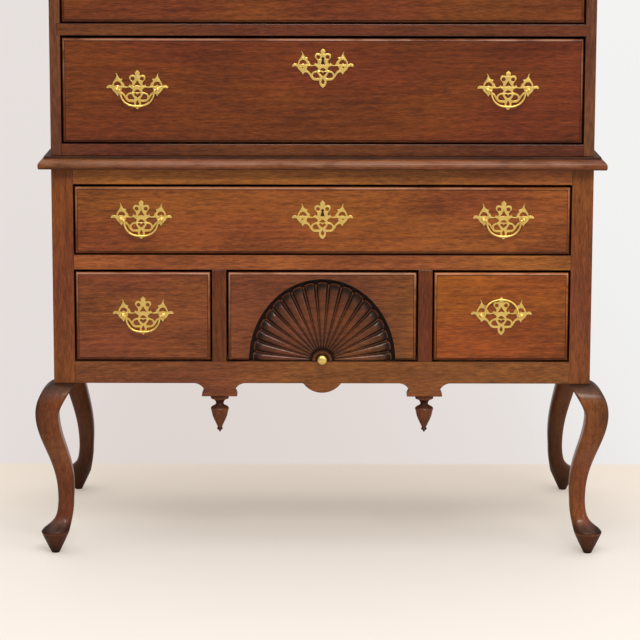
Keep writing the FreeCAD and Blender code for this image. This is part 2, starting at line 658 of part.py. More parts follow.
def shell_lobe(angle, base_z):
    """One tapered lobe of the shell, its crest level with the others, at an angle from upright."""
    a, b = SHELL_HALF_WIDTH - SHELL_MARGIN, SHELL_HEIGHT - SHELL_MARGIN
    turn = radians(angle)
    length = a * b / sqrt((b * sin(turn)) ** 2 + (a * cos(turn)) ** 2)
    taper = radians(SHELL_LOBE_PITCH / 2) * SHELL_LOBE_OVERLAP
    start = SHELL_BOSS_RADIUS * SHELL_ROOT_SHARE
    start_r = start * taper
    end_r = (length - start) * taper / (1 + taper) + start_r / (1 + taper)
    end = length - end_r
    tip = [(end_r * cos(turn), end + end_r * sin(turn)) for turn in SHELL_LOBE_TIP_TURNS]
    lobe = turned([(start_r, start), (end_r, end)] + tip, SHELL_LOBE_SIDES)
    sink = SHELL_CREST_DEPTH + start_r
    lobe.rotate(Vector(0, 0, start), ALONG_X, -degrees(taper))
    lobe.translate(Vector(0, sink, base_z))
    lobe.rotate(Vector(0, 0, base_z), ALONG_Y, angle)
    return lobe


def shell_front(drawer):
    """The centre drawer front with a fan of lobes carved in a sunk half-ellipse."""
    front = plain_front(drawer)
    base_z = drawer.z0
    a, b = SHELL_HALF_WIDTH, SHELL_HEIGHT
    rim = Part.Ellipse(Vector(0, b, 0), Vector(a, 0, 0), ORIGIN).toShape()
    pocket = Part.Face(Part.Wire(rim)).extrude(Vector(0, 0, SHELL_DEPTH + FIELD_PROUD))
    pocket.rotate(ORIGIN, ALONG_X, -90)
    pocket.translate(Vector(0, -FIELD_PROUD, base_z))
    front = front.cut(pocket)
    count = SHELL_SIDE_LOBES
    lobes = [shell_lobe(step * SHELL_LOBE_PITCH, base_z) for step in range(-count, count + 1)]
    boss_length = SHELL_DEPTH + SHELL_BOSS_RISE - SHELL_CREST_DEPTH
    boss = Part.makeCylinder(SHELL_BOSS_RADIUS, boss_length, Vector(0, SHELL_DEPTH, base_z), -ALONG_Y)
    keep = box(-a, a, -SHELL_BOSS_RADIUS, SHELL_DEPTH + CUT_MARGIN, base_z, base_z + b)
    fan = lobes[0].fuse(lobes[1:]).fuse(boss).common(keep)
    return front.fuse(fan)


def knob():
    """The brass knob at the foot of the shell: a mushroom head, a neck, and a screw through the front."""
    face_y = SHELL_CREST_DEPTH - SHELL_BOSS_RISE
    rim = KNOB_REACH - KNOB_DOME
    outline = [(KNOB_FOOT_RADIUS, 0), (KNOB_NECK_RADIUS, KNOB_NECK_REACH), (KNOB_RADIUS, rim)]
    outline += [(KNOB_RADIUS * cos(turn), rim + KNOB_DOME * sin(turn)) for turn in KNOB_DOME_TURNS]
    head = turned(outline)
    head.rotate(ORIGIN, ALONG_X, 90)
    return head.fuse(rod(SHANK_RADIUS, 0, SHELL_FRONT_THICKNESS - face_y)), face_y


def drawer_box(drawer):
    """The drawer's sides, back and bottom."""
    y0, y1 = drawer.thickness, BACK_FACE - DRAWER_BACK_GAP
    x0, x1, t = drawer.x0, drawer.x1, DRAWER_SIDE
    top = drawer.z1 - DRAWER_SIDE_DROP
    floor = drawer.z0 + DRAWER_BOTTOM_LIFT
    sides = [box(x0, x0 + t, y0, y1, drawer.z0, top), box(x1 - t, x1, y0, y1, drawer.z0, top)]
    bottom = box(x0 + t, x1 - t, y0, y1, floor, floor + DRAWER_BOTTOM)
    back = box(x0 + t, x1 - t, y1 - t, y1, floor + DRAWER_BOTTOM, top)
    return sides + [bottom, back]


# ---- brasses ----
def scaled(points, x, z):
    """Points given in half borings, moved to a plate centred at x, z."""
    return [tuple((x + px * HALF_BORING, z + pz * HALF_BORING) for px, pz in segment) for segment in points]


def plate_outline():
    """The pierced plate's edge: a fleur, two volutes, horned wings, a curled tip and a drop."""
    right = lines((0, 0.945), (0.128, 0.79), (0.13, 0.68), (0.33, 0.69), (0.41, 0.52), (0.27, 0.30))
    right += lines((0.27, 0.30), (0.44, 0.16), (0.75, 0.39), (0.71, 0.49), (0.86, 0.57), (0.96, 0.745))
    right += lines((0.96, 0.745), (1.15, 0.40), (1.24, 0.18), (1.45, 0.205), (1.515, 0.08), (1.28, 0.03))
    right += lines((1.28, 0.03), (0.974, -0.36), (0.80, -0.24), (0.50, -0.60), (0.18, -0.64), (0, -1.0))
    return with_left_half(right)


def plate_piercings(keyhole):
    """Openings of the plate's right half and, on a keyhole plate, the keyhole."""
    wing = lines((0.78, 0.20), (0.88, 0.33), (1.03, 0.33), (1.13, 0.20), (0.78, 0.20))
    strap = lines((0.28, 0.00), (0.70, 0.06), (0.72, -0.14), (0.56, -0.34), (0.28, 0.00))
    right = [wing, strap]
    left = [[tuple((-x, z) for x, z in segment) for segment in outline] for outline in right]
    middle = [lines((0, 0.42), (0.19, 0.17), (-0.19, 0.17), (0, 0.42))]
    if keyhole:
        middle = [lines((0.06, 0.52), (0.10, 0.14), (-0.10, 0.14), (-0.06, 0.52), (0.06, 0.52))]
    return right + left + middle


def plate(x, z, keyhole):
    """One pierced brass plate lying on the drawer's face."""
    y0, y1 = -FIELD_PROUD - PLATE_THICKNESS, -FIELD_PROUD
    body = front_slab(scaled(plate_outline(), x, z), y0, y1)
    return body.cut([front_slab(scaled(outline, x, z), y0, y1) for outline in plate_piercings(keyhole)])


def posts(x, z, thickness):
    """The two posts of a pull, each drilled across for the bail and reaching through the front."""
    pieces = []
    r = POST_RADIUS
    root = -FIELD_PROUD - PLATE_THICKNESS
    nose = r * POST_NOSE_SHARE
    eye = lines((PIVOT_Y - nose, -r), (root, -r), (root, r), (PIVOT_Y - nose, r))
    eye += lines((PIVOT_Y - nose, r), (PIVOT_Y - r, nose), (PIVOT_Y - r, -nose), (PIVOT_Y - nose, -r))
    head = face(eye, lambda y, up: Vector(-r, y, z + up)).extrude(Vector(2 * r, 0, 0))
    hole = cross_rod((PIN_RADIUS + PIN_CLEARANCE) / cos(pi / ROD_SIDES), -r, r)
    hole.translate(Vector(0, PIVOT_Y, z))
    shank = rod(SHANK_RADIUS, root, thickness)
    shank.translate(Vector(0, 0, z))
    post = head.cut(hole).fuse(shank)
    for centre in (x - HALF_BORING, x + HALF_BORING):
        piece = post.copy()
        piece.translate(Vector(centre, 0, 0))
        pieces.append(piece)
    return pieces


def nuts(x, z, thickness):
    """The nuts that cap a pull's posts inside the drawer."""
    half = NUT_WIDTH / 2
    pieces = []
    for c in (x - HALF_BORING, x + HALF_BORING):
        pieces.append(box(c - half, c + half, thickness, thickness + NUT_THICKNESS, z - half, z + half))
    return pieces


def bail(x, z, raised):
    """A half-round bail with a pin turned out at each end, hanging down or flipped up."""
    centre = Vector(x, PIVOT_Y, z)
    end = [p + Vector(BAIL_RADIUS, 0, 0) for p in ring(BAIL_WIRE_RADIUS, BAIL_WIRE_SIDES)]
    rings = [[p + Vector(0, 0, BAIL_WIRE_RADIUS) for p in end]]
    for step in range(BAIL_STEPS + 1):
        turn = step * pi / BAIL_STEPS
        rings.append([Vector(p.x * cos(turn), p.y, -p.x * sin(turn)) for p in end])
    rings.append([p + Vector(0, 0, BAIL_WIRE_RADIUS) for p in rings[-1]])
    bow = skin(rings)
    pins = both_sides(cross_rod(PIN_RADIUS, BAIL_RADIUS, HALF_BORING + POST_RADIUS))
    whole = bow.fuse(pins)
    whole.translate(centre)
    if raised:
        whole.rotate(centre, ALONG_X, -BAIL_SWING)
    return whole


def export_drawer(drawer):
    """Write one drawer's front, box, brasses and bails."""
    if drawer.name == "shell_drawer":
        front = shell_front(drawer)
        brass, face_y = knob()
        brass.translate(Vector(0, face_y, drawer.z0 + KNOB_ABOVE_EDGE))
        hardware = [brass]
        front = front.cut(brass)
    else:
        front = plain_front(drawer)
        hardware = []
        for x in drawer.pulls.values():
            shanks = posts(x, drawer.pull_z, drawer.thickness)
            hardware.append(plate(x, drawer.pull_z, False).cut(shanks))
            hardware += shanks + nuts(x, drawer.pull_z, drawer.thickness)
            front = front.cut(shanks)
        if drawer.keyhole:
            hardware.append(plate(0, drawer.keyhole_z, True))
    export(drawer.name + "_front", [front])
    export(drawer.name + "_box", drawer_box(drawer))
    export(drawer.name + "_hardware", hardware)
    for side, x in drawer.pulls.items():
        export(drawer.name + "_bail" + side, [bail(x, drawer.pull_z, drawer.raised)])


def export_lower_case():
    """Write the legs and everything fixed between them."""
    divider = drawer_divider()
    finial = drop_finial()
    dividers, finials = both_sides(divider), both_sides(finial)
    apron = front_apron().cut(dividers + finials)
    blocks = [block.cut(finials) for block in both_sides(drop_block())]
    middle_rail = front_rail(MIDDLE_RAIL_BOTTOM, LONG_BOTTOM, POST_WIDTH).cut(dividers)
    top_rail = front_rail(TOP_RAIL_BOTTOM, WAIST_BOTTOM, TOP_RAIL_THICKNESS)
    side = base_side()
    back = base_back()
    leg = front_right_leg()
    front_leg = leg.cut([apron, middle_rail, top_rail, side])
    rear_leg = mirror_depth(leg).cut([side, back])
    for name, shape in (("front", front_leg), ("rear", rear_leg)):
        export(f"leg_{name}_right", [shape.copy()])
        export(f"leg_{name}_left", [mirror_x(shape)])
    export("base_side_right", [side.copy()])
    export("base_side_left", [mirror_x(side)])
    export("base_back_panel", [back])
    export("front_apron", [apron] + blocks)
    export("base_drawer_rails", [middle_rail, top_rail])
    export("base_drawer_dividers", dividers)
    export("drop_finials", finials)
    export("base_drawer_runners", [p for piece in base_runners() for p in both_sides(piece)])
    export("waist_moulding", waist_moulding())


def export_upper_case():
    """Write the boards, rails, runners and cornice of the upper case."""
    rails = upper_rails()
    side = upper_side().cut(rails)
    export("upper_side_right", [side.copy()])
    export("upper_side_left", [mirror_x(side)])
    back = box(-SIDE_INNER, SIDE_INNER, BACK_FACE, CASE_DEPTH, UPPER_BOTTOM, TOP_BOARD_BOTTOM)
    export("upper_back_panel", [back])
    floor_top = UPPER_BOTTOM + UPPER_BOTTOM_BOARD
    export("upper_bottom_board", [box(-SIDE_INNER, SIDE_INNER, 0, BACK_FACE, UPPER_BOTTOM, floor_top)])
    export("upper_top_board", [box(-HALF_WIDTH, HALF_WIDTH, 0, CASE_DEPTH, TOP_BOARD_BOTTOM, TOTAL_HEIGHT)])
    export("upper_drawer_rails", rails)
    export("upper_drawer_runners", upper_runners())
    export("cornice_moulding", cornice_moulding())


def main():
    """Build every sub-part and write its STEP file."""
    os.makedirs("parts", exist_ok=True)
    export_lower_case()
    export_upper_case()
    for drawer in drawers():
        export_drawer(drawer)


main()
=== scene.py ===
"""Flat-top highboy: the finish of every surface, and the smooth form of what is carved, turned or cast.

Lengths are in metres unless a docstring says millimetres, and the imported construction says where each
piece goes: x to the right, the drawer fronts facing -y, z up from the floor.
"""

import json
import logging
import math
from dataclasses import dataclass
from enum import Enum
from typing import Callable, Iterable, Sequence

import bmesh
import bpy
from mathutils import Matrix, Vector

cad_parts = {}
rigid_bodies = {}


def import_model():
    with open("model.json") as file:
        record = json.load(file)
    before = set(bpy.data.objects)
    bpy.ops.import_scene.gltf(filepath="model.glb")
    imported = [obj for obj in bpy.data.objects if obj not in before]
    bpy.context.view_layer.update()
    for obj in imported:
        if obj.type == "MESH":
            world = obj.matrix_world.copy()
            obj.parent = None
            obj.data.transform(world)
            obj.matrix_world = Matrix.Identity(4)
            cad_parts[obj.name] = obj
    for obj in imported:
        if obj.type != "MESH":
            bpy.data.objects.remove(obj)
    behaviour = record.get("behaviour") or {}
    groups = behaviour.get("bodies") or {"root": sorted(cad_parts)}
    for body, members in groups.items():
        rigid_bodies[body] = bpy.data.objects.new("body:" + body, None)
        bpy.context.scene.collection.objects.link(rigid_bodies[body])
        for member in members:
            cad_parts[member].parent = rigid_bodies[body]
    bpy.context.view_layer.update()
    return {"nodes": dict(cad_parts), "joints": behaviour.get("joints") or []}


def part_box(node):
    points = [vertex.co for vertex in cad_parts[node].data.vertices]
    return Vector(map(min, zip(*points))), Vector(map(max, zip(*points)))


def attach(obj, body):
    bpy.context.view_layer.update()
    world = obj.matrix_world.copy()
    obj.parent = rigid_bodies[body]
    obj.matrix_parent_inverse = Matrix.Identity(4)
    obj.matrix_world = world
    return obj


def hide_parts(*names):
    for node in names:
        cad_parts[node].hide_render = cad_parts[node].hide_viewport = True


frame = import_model()

LOG = logging.getLogger("highboy")
Colour = tuple[float, float, float]
Triple = tuple[float, float, float]
Point = tuple[float, float]
Finishes = dict[str, bpy.types.Material]
MM = 0.001
CASE_HALF = 0.508
CASE_DEPTH = 0.490
FRONT_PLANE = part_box("upper_side_right")[0].y
FIELD_PROUD = 0.0010  # how far a drawer front's field stands out from the case
PLATE_BELOW_TOP = 0.036  # from the top of a drawer's brasses down to the middle of its keyhole plate
KEYHOLE_ABOVE_PLATE = 0.0126
LINE_STEPS = 4  # how many pieces each stretch of a smooth line is divided into
WELD = 1e-6  # points that lie closer are one
CAD_WELD = 1e-5  # the same for a CAD node's loose triangles


class Grain(Enum):
    """The axis that the wood's fibres run along, as the turn that brings it onto x."""

    ALONG_X = (0.0, 0.0, 0.0)
    ALONG_Y = (0.0, 0.0, -math.pi / 2)
    ALONG_Z = (0.0, math.pi / 2, 0.0)


class Slot(Enum):
    """The record's material slots."""

    MAHOGANY = "mahogany"
    SECONDARY = "secondary_wood"
    BRASS = "antique_brass"


# ---------------------------------------------------------------- node graphs
class Term:
    """One output socket of a node, which Python's operators extend with more nodes."""

    def __init__(self, graph: "Graph", socket: bpy.types.NodeSocket) -> None:
        """Wraps a socket of a graph."""
        self.graph = graph
        self.socket = socket

    def __add__(self, other: "Term | float") -> "Term":
        """This value plus another."""
        return self.graph.math("ADD", self, other)

    def __radd__(self, other: float) -> "Term":
        """A number plus this value."""
        return self.graph.math("ADD", other, self)

    def __sub__(self, other: "Term | float") -> "Term":
        """This value less another."""
        return self.graph.math("SUBTRACT", self, other)

    def __rsub__(self, other: float) -> "Term":
        """A number less this value."""
        return self.graph.math("SUBTRACT", other, self)

    def __mul__(self, other: "Term | float") -> "Term":
        """This value times another."""
        return self.graph.math("MULTIPLY", self, other)

    def __rmul__(self, other: float) -> "Term":
        """A number times this value."""
        return self.graph.math("MULTIPLY", other, self)

    def __truediv__(self, other: "Term | float") -> "Term":
        """This value over another."""
        return self.graph.math("DIVIDE", self, other)

    def __rtruediv__(self, other: float) -> "Term":
        """A number over this value."""
        return self.graph.math("DIVIDE", other, self)

    def __pow__(self, other: "Term | float") -> "Term":
        """This value raised to a power."""
        return self.graph.math("POWER", self, other)

    def clamp(self) -> "Term":
        """This value held between 0 and 1."""
        return self.graph.math("MINIMUM", self.graph.math("MAXIMUM", self, 0.0), 1.0)

    def least(self, other: "Term | float") -> "Term":
        """The lesser of this value and another."""
        return self.graph.math("MINIMUM", self, other)

    def most(self, other: "Term | float") -> "Term":
        """The greater of this value and another."""
        return self.graph.math("MAXIMUM", self, other)

    def step(self, low: float, high: float) -> "Term":
        """A smooth step from 0 at low to 1 at high, where high may be the lesser."""
        share = ((self - low) / (high - low)).clamp()
        return share * share * (3.0 - 2.0 * share)


class Graph:
    """A node tree that is written as expressions."""

    def __init__(self, tree: bpy.types.NodeTree) -> None:
        """Starts on an empty tree."""
        self.tree = tree
        tree.nodes.clear()

    def node(self, kind: str, settings: dict | None = None, sockets: dict | None = None,
             output: int | str = 0) -> Term:
        """Adds a node.

        Args:
            kind: the node's type.
            settings: its properties, set first; "stops" are a colour ramp's (place, colour) pairs.
            sockets: values or terms for its inputs, by name or number.
            output: which of its outputs to return.

        Returns:
            The output as a term.
        """
        node = self.tree.nodes.new(kind)
        for key, value in (settings or {}).items():
            if key == "stops":
                self._set_stops(node.color_ramp, value)
            else:
                setattr(node, key, value)
        for key, value in (sockets or {}).items():
            if isinstance(value, Term):
                self.tree.links.new(value.socket, node.inputs[key])
            else:
                node.inputs[key].default_value = value
        if not node.outputs:
            return Term(self, node.inputs[0])
        return Term(self, node.outputs[output])

    @staticmethod
    def _set_stops(ramp: bpy.types.ColorRamp, stops: Sequence[tuple[float, Colour]]) -> None:
        """Gives a colour ramp its stops.

        Args:
            ramp: the ramp.
            stops: (place, colour) pairs.
        """
        while len(ramp.elements) < len(stops):
            ramp.elements.new(1.0)
        for element, (place, colour) in zip(ramp.elements, stops):
            element.position = place
            element.color = (*colour, 1.0)

    def math(self, operation: str, *values: "Term | float") -> Term:
        """A Math node on terms and numbers."""
        return self.node("ShaderNodeMath", {"operation": operation}, dict(enumerate(values)))

    def vector(self, operation: str, *values: object) -> Term:
        """A Vector Math node on terms and triples."""
        return self.node("ShaderNodeVectorMath", {"operation": operation}, dict(enumerate(values)))

    def split(self, vector: Term) -> tuple[Term, Term, Term]:
        """A vector's x, y and z."""
        parts = self.node("ShaderNodeSeparateXYZ", {}, {0: vector})
        return tuple(Term(self, socket) for socket in parts.socket.node.outputs)

    def join(self, x: "Term | float", y: "Term | float", z: "Term | float") -> Term:
        """A vector from its three parts."""
        return self.node("ShaderNodeCombineXYZ", {}, {0: x, 1: y, 2: z})


class ShaderGraph(Graph):
    """The node tree of a material."""

    def __init__(self, name: str) -> None:
        """Makes an empty material.

        Args:
            name: the material's name.
        """
        self.material = bpy.data.materials.new(name)
        self.material.use_nodes = True
        super().__init__(self.material.node_tree)

    def place(self, location: Sequence[float] = (0, 0, 0), rotation: Sequence[float] = (0, 0, 0)) -> Term:
        """Object coordinates, turned and then moved.

        Args:
            location: how far they are moved.
            rotation: the turn about each axis, in radians.

        Returns:
            The coordinates.
        """
        coordinates = self.node("ShaderNodeTexCoord", {}, {}, "Object")
        sockets = {"Vector": coordinates, "Location": tuple(location), "Rotation": tuple(rotation)}
        return self.node("ShaderNodeMapping", {}, sockets)

    def noise(self, vector: Term, scale: Sequence[float], detail: float = 2.0, rough: float = 0.5) -> Term:
        """Noise from 0 to 1.

        Args:
            vector: the coordinates that it follows.
            scale: cells per metre along each axis.
            detail: how many finer layers it has.
            rough: how strong those are.

        Returns:
            The noise.
        """
        stretched = self.vector("MULTIPLY", vector, tuple(scale))
        sockets = {"Vector": stretched, "Scale": 1.0, "Detail": detail, "Roughness": rough}
        return self.node("ShaderNodeTexNoise", {}, sockets, 0)

    def mix(self, factor: "Term | float", first: object, second: object, blend: str = "MIX") -> Term:
        """One colour over another.

        Args:
            factor: how much of the second colour shows.
            first: the colour below.
            second: the colour above.
            blend: how the two are combined.

        Returns:
            The mixed colour.
        """
        first, second = ((*c, 1.0) if isinstance(c, tuple) else c for c in (first, second))
        settings = {"data_type": "RGBA", "blend_type": blend}
        return self.node("ShaderNodeMix", settings, {0: factor, 6: first, 7: second}, 2)

    def finish(self, sockets: dict) -> bpy.types.Material:
        """Ends the tree in one Principled shader with these inputs.

        Args:
            sockets: values or terms for the shader's inputs, by name.

        Returns:
            The material.
        """
        shader = self.node("ShaderNodeBsdfPrincipled", {}, sockets)
        self.node("ShaderNodeOutputMaterial", {}, {"Surface": shader})
        return self.material


class GeometryGraph(Graph):
    """A geometry node tree with named inputs, which ends in real geometry in one finish."""

    def __init__(self, name: str, inputs: dict[str, tuple[str, object]]) -> None:
        """Starts the tree.

        Args:
            name: the tree's name.
            inputs: each input's kind of socket and its default, by its name.
        """
        super().__init__(bpy.data.node_groups.new(name, "GeometryNodeTree"))
        sockets = {"Geometry": ("Geometry", None), **inputs, "Finish": ("Material", None)}
        for title, (kind, value) in sockets.items():
            kind = "NodeSocket" + kind
            socket = self.tree.interface.new_socket(name=title, in_out="INPUT", socket_type=kind)
            if value is not None:
                socket.default_value = value
        self.tree.interface.new_socket(name="Geometry", in_out="OUTPUT", socket_type="NodeSocketGeometry")
        self.entry = self.tree.nodes.new("NodeGroupInput")

    def given(self, title: str) -> Term:
        """The value of a named input."""
        return Term(self, self.entry.outputs[title])

    def end(self, geometry: Term) -> None:
        """Makes instances real, sets the finish and ends the tree.

        Args:
            geometry: what the tree has made.
        """
        real = self.node("GeometryNodeRealizeInstances", {}, {0: geometry})
        dressed = self.node("GeometryNodeSetMaterial", {}, {"Geometry": real, "Material": self.given("Finish")})
        self.node("NodeGroupOutput", {}, {0: dressed})

    def run(self, source: bpy.types.Mesh, values: dict) -> bpy.types.Mesh:
        """Runs the tree on a mesh.

        Args:
            source: the geometry that goes in.
            values: inputs by name.

        Returns:
            The result as a plain mesh.
        """
        carrier = bpy.data.objects.new(self.tree.name, source)
        bpy.context.scene.collection.objects.link(carrier)
        modifier = carrier.modifiers.new("tree", "NODES")
        modifier.node_group = self.tree
        for item in self.tree.interface.items_tree:
            if item.in_out == "INPUT" and item.name in values:
                modifier[item.identifier] = values[item.name]
        Builder.bake(carrier)
        made = carrier.data
        bpy.data.objects.remove(carrier)
        return made


# ---------------------------------------------------------------- finishes
@dataclass(frozen=True)
class Figure:
    """The layers of a wood's figure: their cells per metre along and across the grain, and how much each shows."""

    drift: Triple = (1.3, 6.0, 6.0)
    drift_reach: Triple = (0.0, 0.03, 0.03)
    fibre: Triple = (60.0, 680.0, 680.0)
    fibre_shows: float = 1.5
    streak: Triple = (46.0, 330.0, 330.0)
    streak_shows: float = 1.1
    flame: Triple = (9.0, 75.0, 75.0)
    flame_shows: float = 0.6
    cloud: Triple = (4.5, 13.0, 13.0)
    cloud_shows: float = 0.8
    pore: Triple = (60.0, 1100.0, 1100.0)
    pore_patch: Triple = (7.0, 110.0, 110.0)
    pore_shows: float = 0.6
    warm_patch: Triple = (2.5, 7.0, 7.0)


@dataclass(frozen=True)
class PolishedWood:
    """Hand-rubbed wood: growth rings, fibres, pores, soft clouds, dark old polish, rubbed edges and painted light.

    A piece that shows wear carries a point attribute that runs from 1, darkest with old polish and painted shade,
    to -1, lightest where it is rubbed and where a highlight is painted.
    """

    name: str
    grain: Grain = Grain.ALONG_X
    tone: Colour = (0.27, 0.09, 0.035)
    pith: Triple = (0.0, 0.35, 0.5)
    tilt: float = 0.02
    ring: float = 0.012
    figure: float = 0.12
    mottle: float = 1.0
    contrast: float = 1.0
    roughness: float = 0.38
    coat: float = 0.3
    # whether the piece has old polish, rubbing and painted light and shade, read from its point attribute
    shows_wear_and_light: bool = False
    keyhole: float = 0.0
    keyhole_reach: Point = (0.0045, 0.008)
    layers: Figure = Figure()
    shades: tuple[Point, ...] = ((0.1, 0.5), (0.4, 0.85), (0.6, 1.13), (0.9, 1.6))
    cool: Colour = (0.96, 0.85, 1.06)
    warm: Colour = (1.05, 1.13, 0.9)
    # lifts the colour where the wood is rubbed and where a highlight is painted
    rub_and_highlight_lift: Colour = (0.2, 0.13, 0.09)
    # the dark of old polish and of painted shade
    old_polish_and_shade: Colour = (0.006, 0.003, 0.002)
    opening: Colour = (0.03, 0.013, 0.005)

    def build(self) -> bpy.types.Material:
        """The finish as a material.

        Returns:
            The new material.
        """
        graph = ShaderGraph(self.name)
        place = graph.place()
        colour, fibre, pores = self._figured(graph)
        coat: Term | float = self.coat
        rough = self.roughness + (fibre - 0.5) * 0.2 + pores * 0.15
        if self.shows_wear_and_light:
            colour, hollow = self._apply_wear_and_light(graph, place, colour)
            coat = (1.0 - hollow * hollow * 0.8) * self.coat
            rough = rough + hollow * 0.2
        if self.keyhole:
            colour = self._pierce(graph, place, colour)
        height = fibre * 0.5 - pores
        bump = graph.node("ShaderNodeBump", {}, {"Strength": 0.25, "Distance": 0.0004, "Height": height})
        return graph.finish({
            "Base Color": colour, "Roughness": rough, "Normal": bump, "Coat Weight": coat,
            "Coat Roughness": 0.16, "Specular IOR Level": 0.12})

    def _figured(self, graph: ShaderGraph) -> tuple[Term, Term, Term]:
        """The wood's figure, as a log would show it that the piece was sawn from.

        Args:
            graph: the material's tree.

        Returns:
            The colour, the fibres and the pores.
        """
        layers = self.layers
        turn = [a + self.tilt * w for a, w in zip(self.grain.value, (0.0, 1.0, 0.6))]
        log = graph.place(self.pith, turn)
        drift = graph.node("ShaderNodeTexNoise", {}, {
            "Vector": graph.vector("MULTIPLY", log, layers.drift), "Scale": 1.0, "Detail": 2.0}, 1)
        drift = graph.vector("MULTIPLY", graph.vector("SUBTRACT", drift, (0.5, 0.5, 0.5)), layers.drift_reach)
        warped = graph.vector("ADD", log, drift)
        rings = graph.node("ShaderNodeTexWave", {"wave_type": "RINGS", "rings_direction": "X"}, {
            "Vector": warped, "Scale": math.pi / 10 / self.ring, "Distortion": 1.6, "Detail": 2.0,
            "Detail Scale": 0.6, "Detail Roughness": 0.6}, 1)
        fibre = graph.noise(warped, layers.fibre, 3.0, 0.75)
        streak = graph.noise(warped, layers.streak, 2.0, 0.65)
        flame = graph.noise(warped, layers.flame)
        cloud = graph.noise(log, layers.cloud)
        pores = graph.noise(warped, layers.pore).step(0.55, 0.7)
        pores = pores * graph.noise(warped, layers.pore_patch, 1.0).step(0.35, 0.6)
        light = (rings - 0.5) * self.figure + (fibre - 0.5) * layers.fibre_shows
        light = light + (streak - 0.5) * layers.streak_shows + (flame - 0.5) * layers.flame_shows
        light = (light + (cloud - 0.5) * (layers.cloud_shows * self.mottle)) * self.contrast + 0.5
        stops = [(place, self._shade(share)) for place, share in self.shades]
        colour = graph.node("ShaderNodeValToRGB", {"stops": stops}, {0: light})
        warmth = graph.noise(log, layers.warm_patch, 1.0).step(0.36, 0.64)
        colour = graph.mix(self.mottle, colour, graph.mix(warmth, self.cool, self.warm), "MULTIPLY")
        return graph.mix(pores * layers.pore_shows, colour, self._shade(0.3)), fibre, pores

    def _apply_wear_and_light(self, graph: ShaderGraph, place: Term, colour: Term) -> tuple[Term, Term]:
        """Lightens rubbed wood and painted highlights, darkens old polish and painted shade, as the attribute
        says.

        Args:
            graph: the material's tree.
            place: object coordinates.
            colour: the wood's own colour.

        Returns:
            The colour with its wear and painted light, and how dark old polish and painted shade make each point.
        """
        hollow = graph.node("ShaderNodeAttribute", {"attribute_name": "hollow"}, {}, "Fac")
        # how much is lightened, for rubbing and for painted highlights, where the attribute is below 0
        rubbed = (0.0 - hollow).clamp() * graph.noise(place, (14.0, 40.0, 40.0)).step(0.3, 0.6)
        pale = tuple(1.2 * part + lift for part, lift in zip(self.tone, self.rub_and_highlight_lift))
        colour = graph.mix(rubbed, colour, pale)
        # old polish and painted shade where the attribute is above 0
        hollow = hollow.clamp()
        hollow = hollow + (graph.noise(place, (45.0, 45.0, 45.0)) - 0.5) * hollow * (1.0 - hollow) * 1.6
        return graph.mix(hollow.clamp() * 0.95, colour, self.old_polish_and_shade), hollow

    def _pierce(self, graph: ShaderGraph, place: Term, colour: Term) -> Term:
        """Paints the shade in the keyhole's opening, which shows through its plate.

        Args:
            graph: the material's tree.
            place: object coordinates.
            colour: the wood's colour round it.

        Returns:
            The colour with the opening in it.
        """
        x, _, z = graph.split(place)
        across, along = x / self.keyhole_reach[0], (z - self.keyhole) / self.keyhole_reach[1]
        reach = across * across + along * along
        return graph.mix(reach.step(1.15, 0.9), colour, self.opening)

    def _shade(self, share: float) -> Colour:
        """The tone, darker or lighter, redder where it is dark."""
        red, green, blue = self.tone
        return (red * share ** 0.9, green * share, blue * share)


@dataclass(frozen=True)
class CastBrass:
    """Polished cast brass, mellowed in patches, with a slight ripple; its noises are in cells per metre."""

    name: str = "antique_brass"
    tone: Colour = (0.93, 0.66, 0.19)
    tarnish: Colour = (0.52, 0.31, 0.06)
    patch: float = 90.0
    speck: float = 900.0
    ripple: float = 240.0

    def build(self) -> bpy.types.Material:
        """The finish as a material.

        Returns:
            The new material.
        """
        graph = ShaderGraph(self.name)
        place = graph.place()
        cloud = graph.noise(place, (self.patch,) * 3, 3.0).step(0.42, 0.75)
        speck = graph.noise(place, (self.speck,) * 3)
        colour = graph.mix(cloud * 0.45, self.tone, self.tarnish)
        height = speck * 0.5 + graph.noise(place, (self.ripple,) * 3, 1.0) * 2.4
        bump = graph.node("ShaderNodeBump", {}, {"Strength": 0.5, "Distance": 0.0006, "Height": height})
        return graph.finish({"Base Color": colour, "Metallic": 1.0, "Normal": bump,
                             "Roughness": 0.3 + cloud * 0.16 + speck * 0.06})


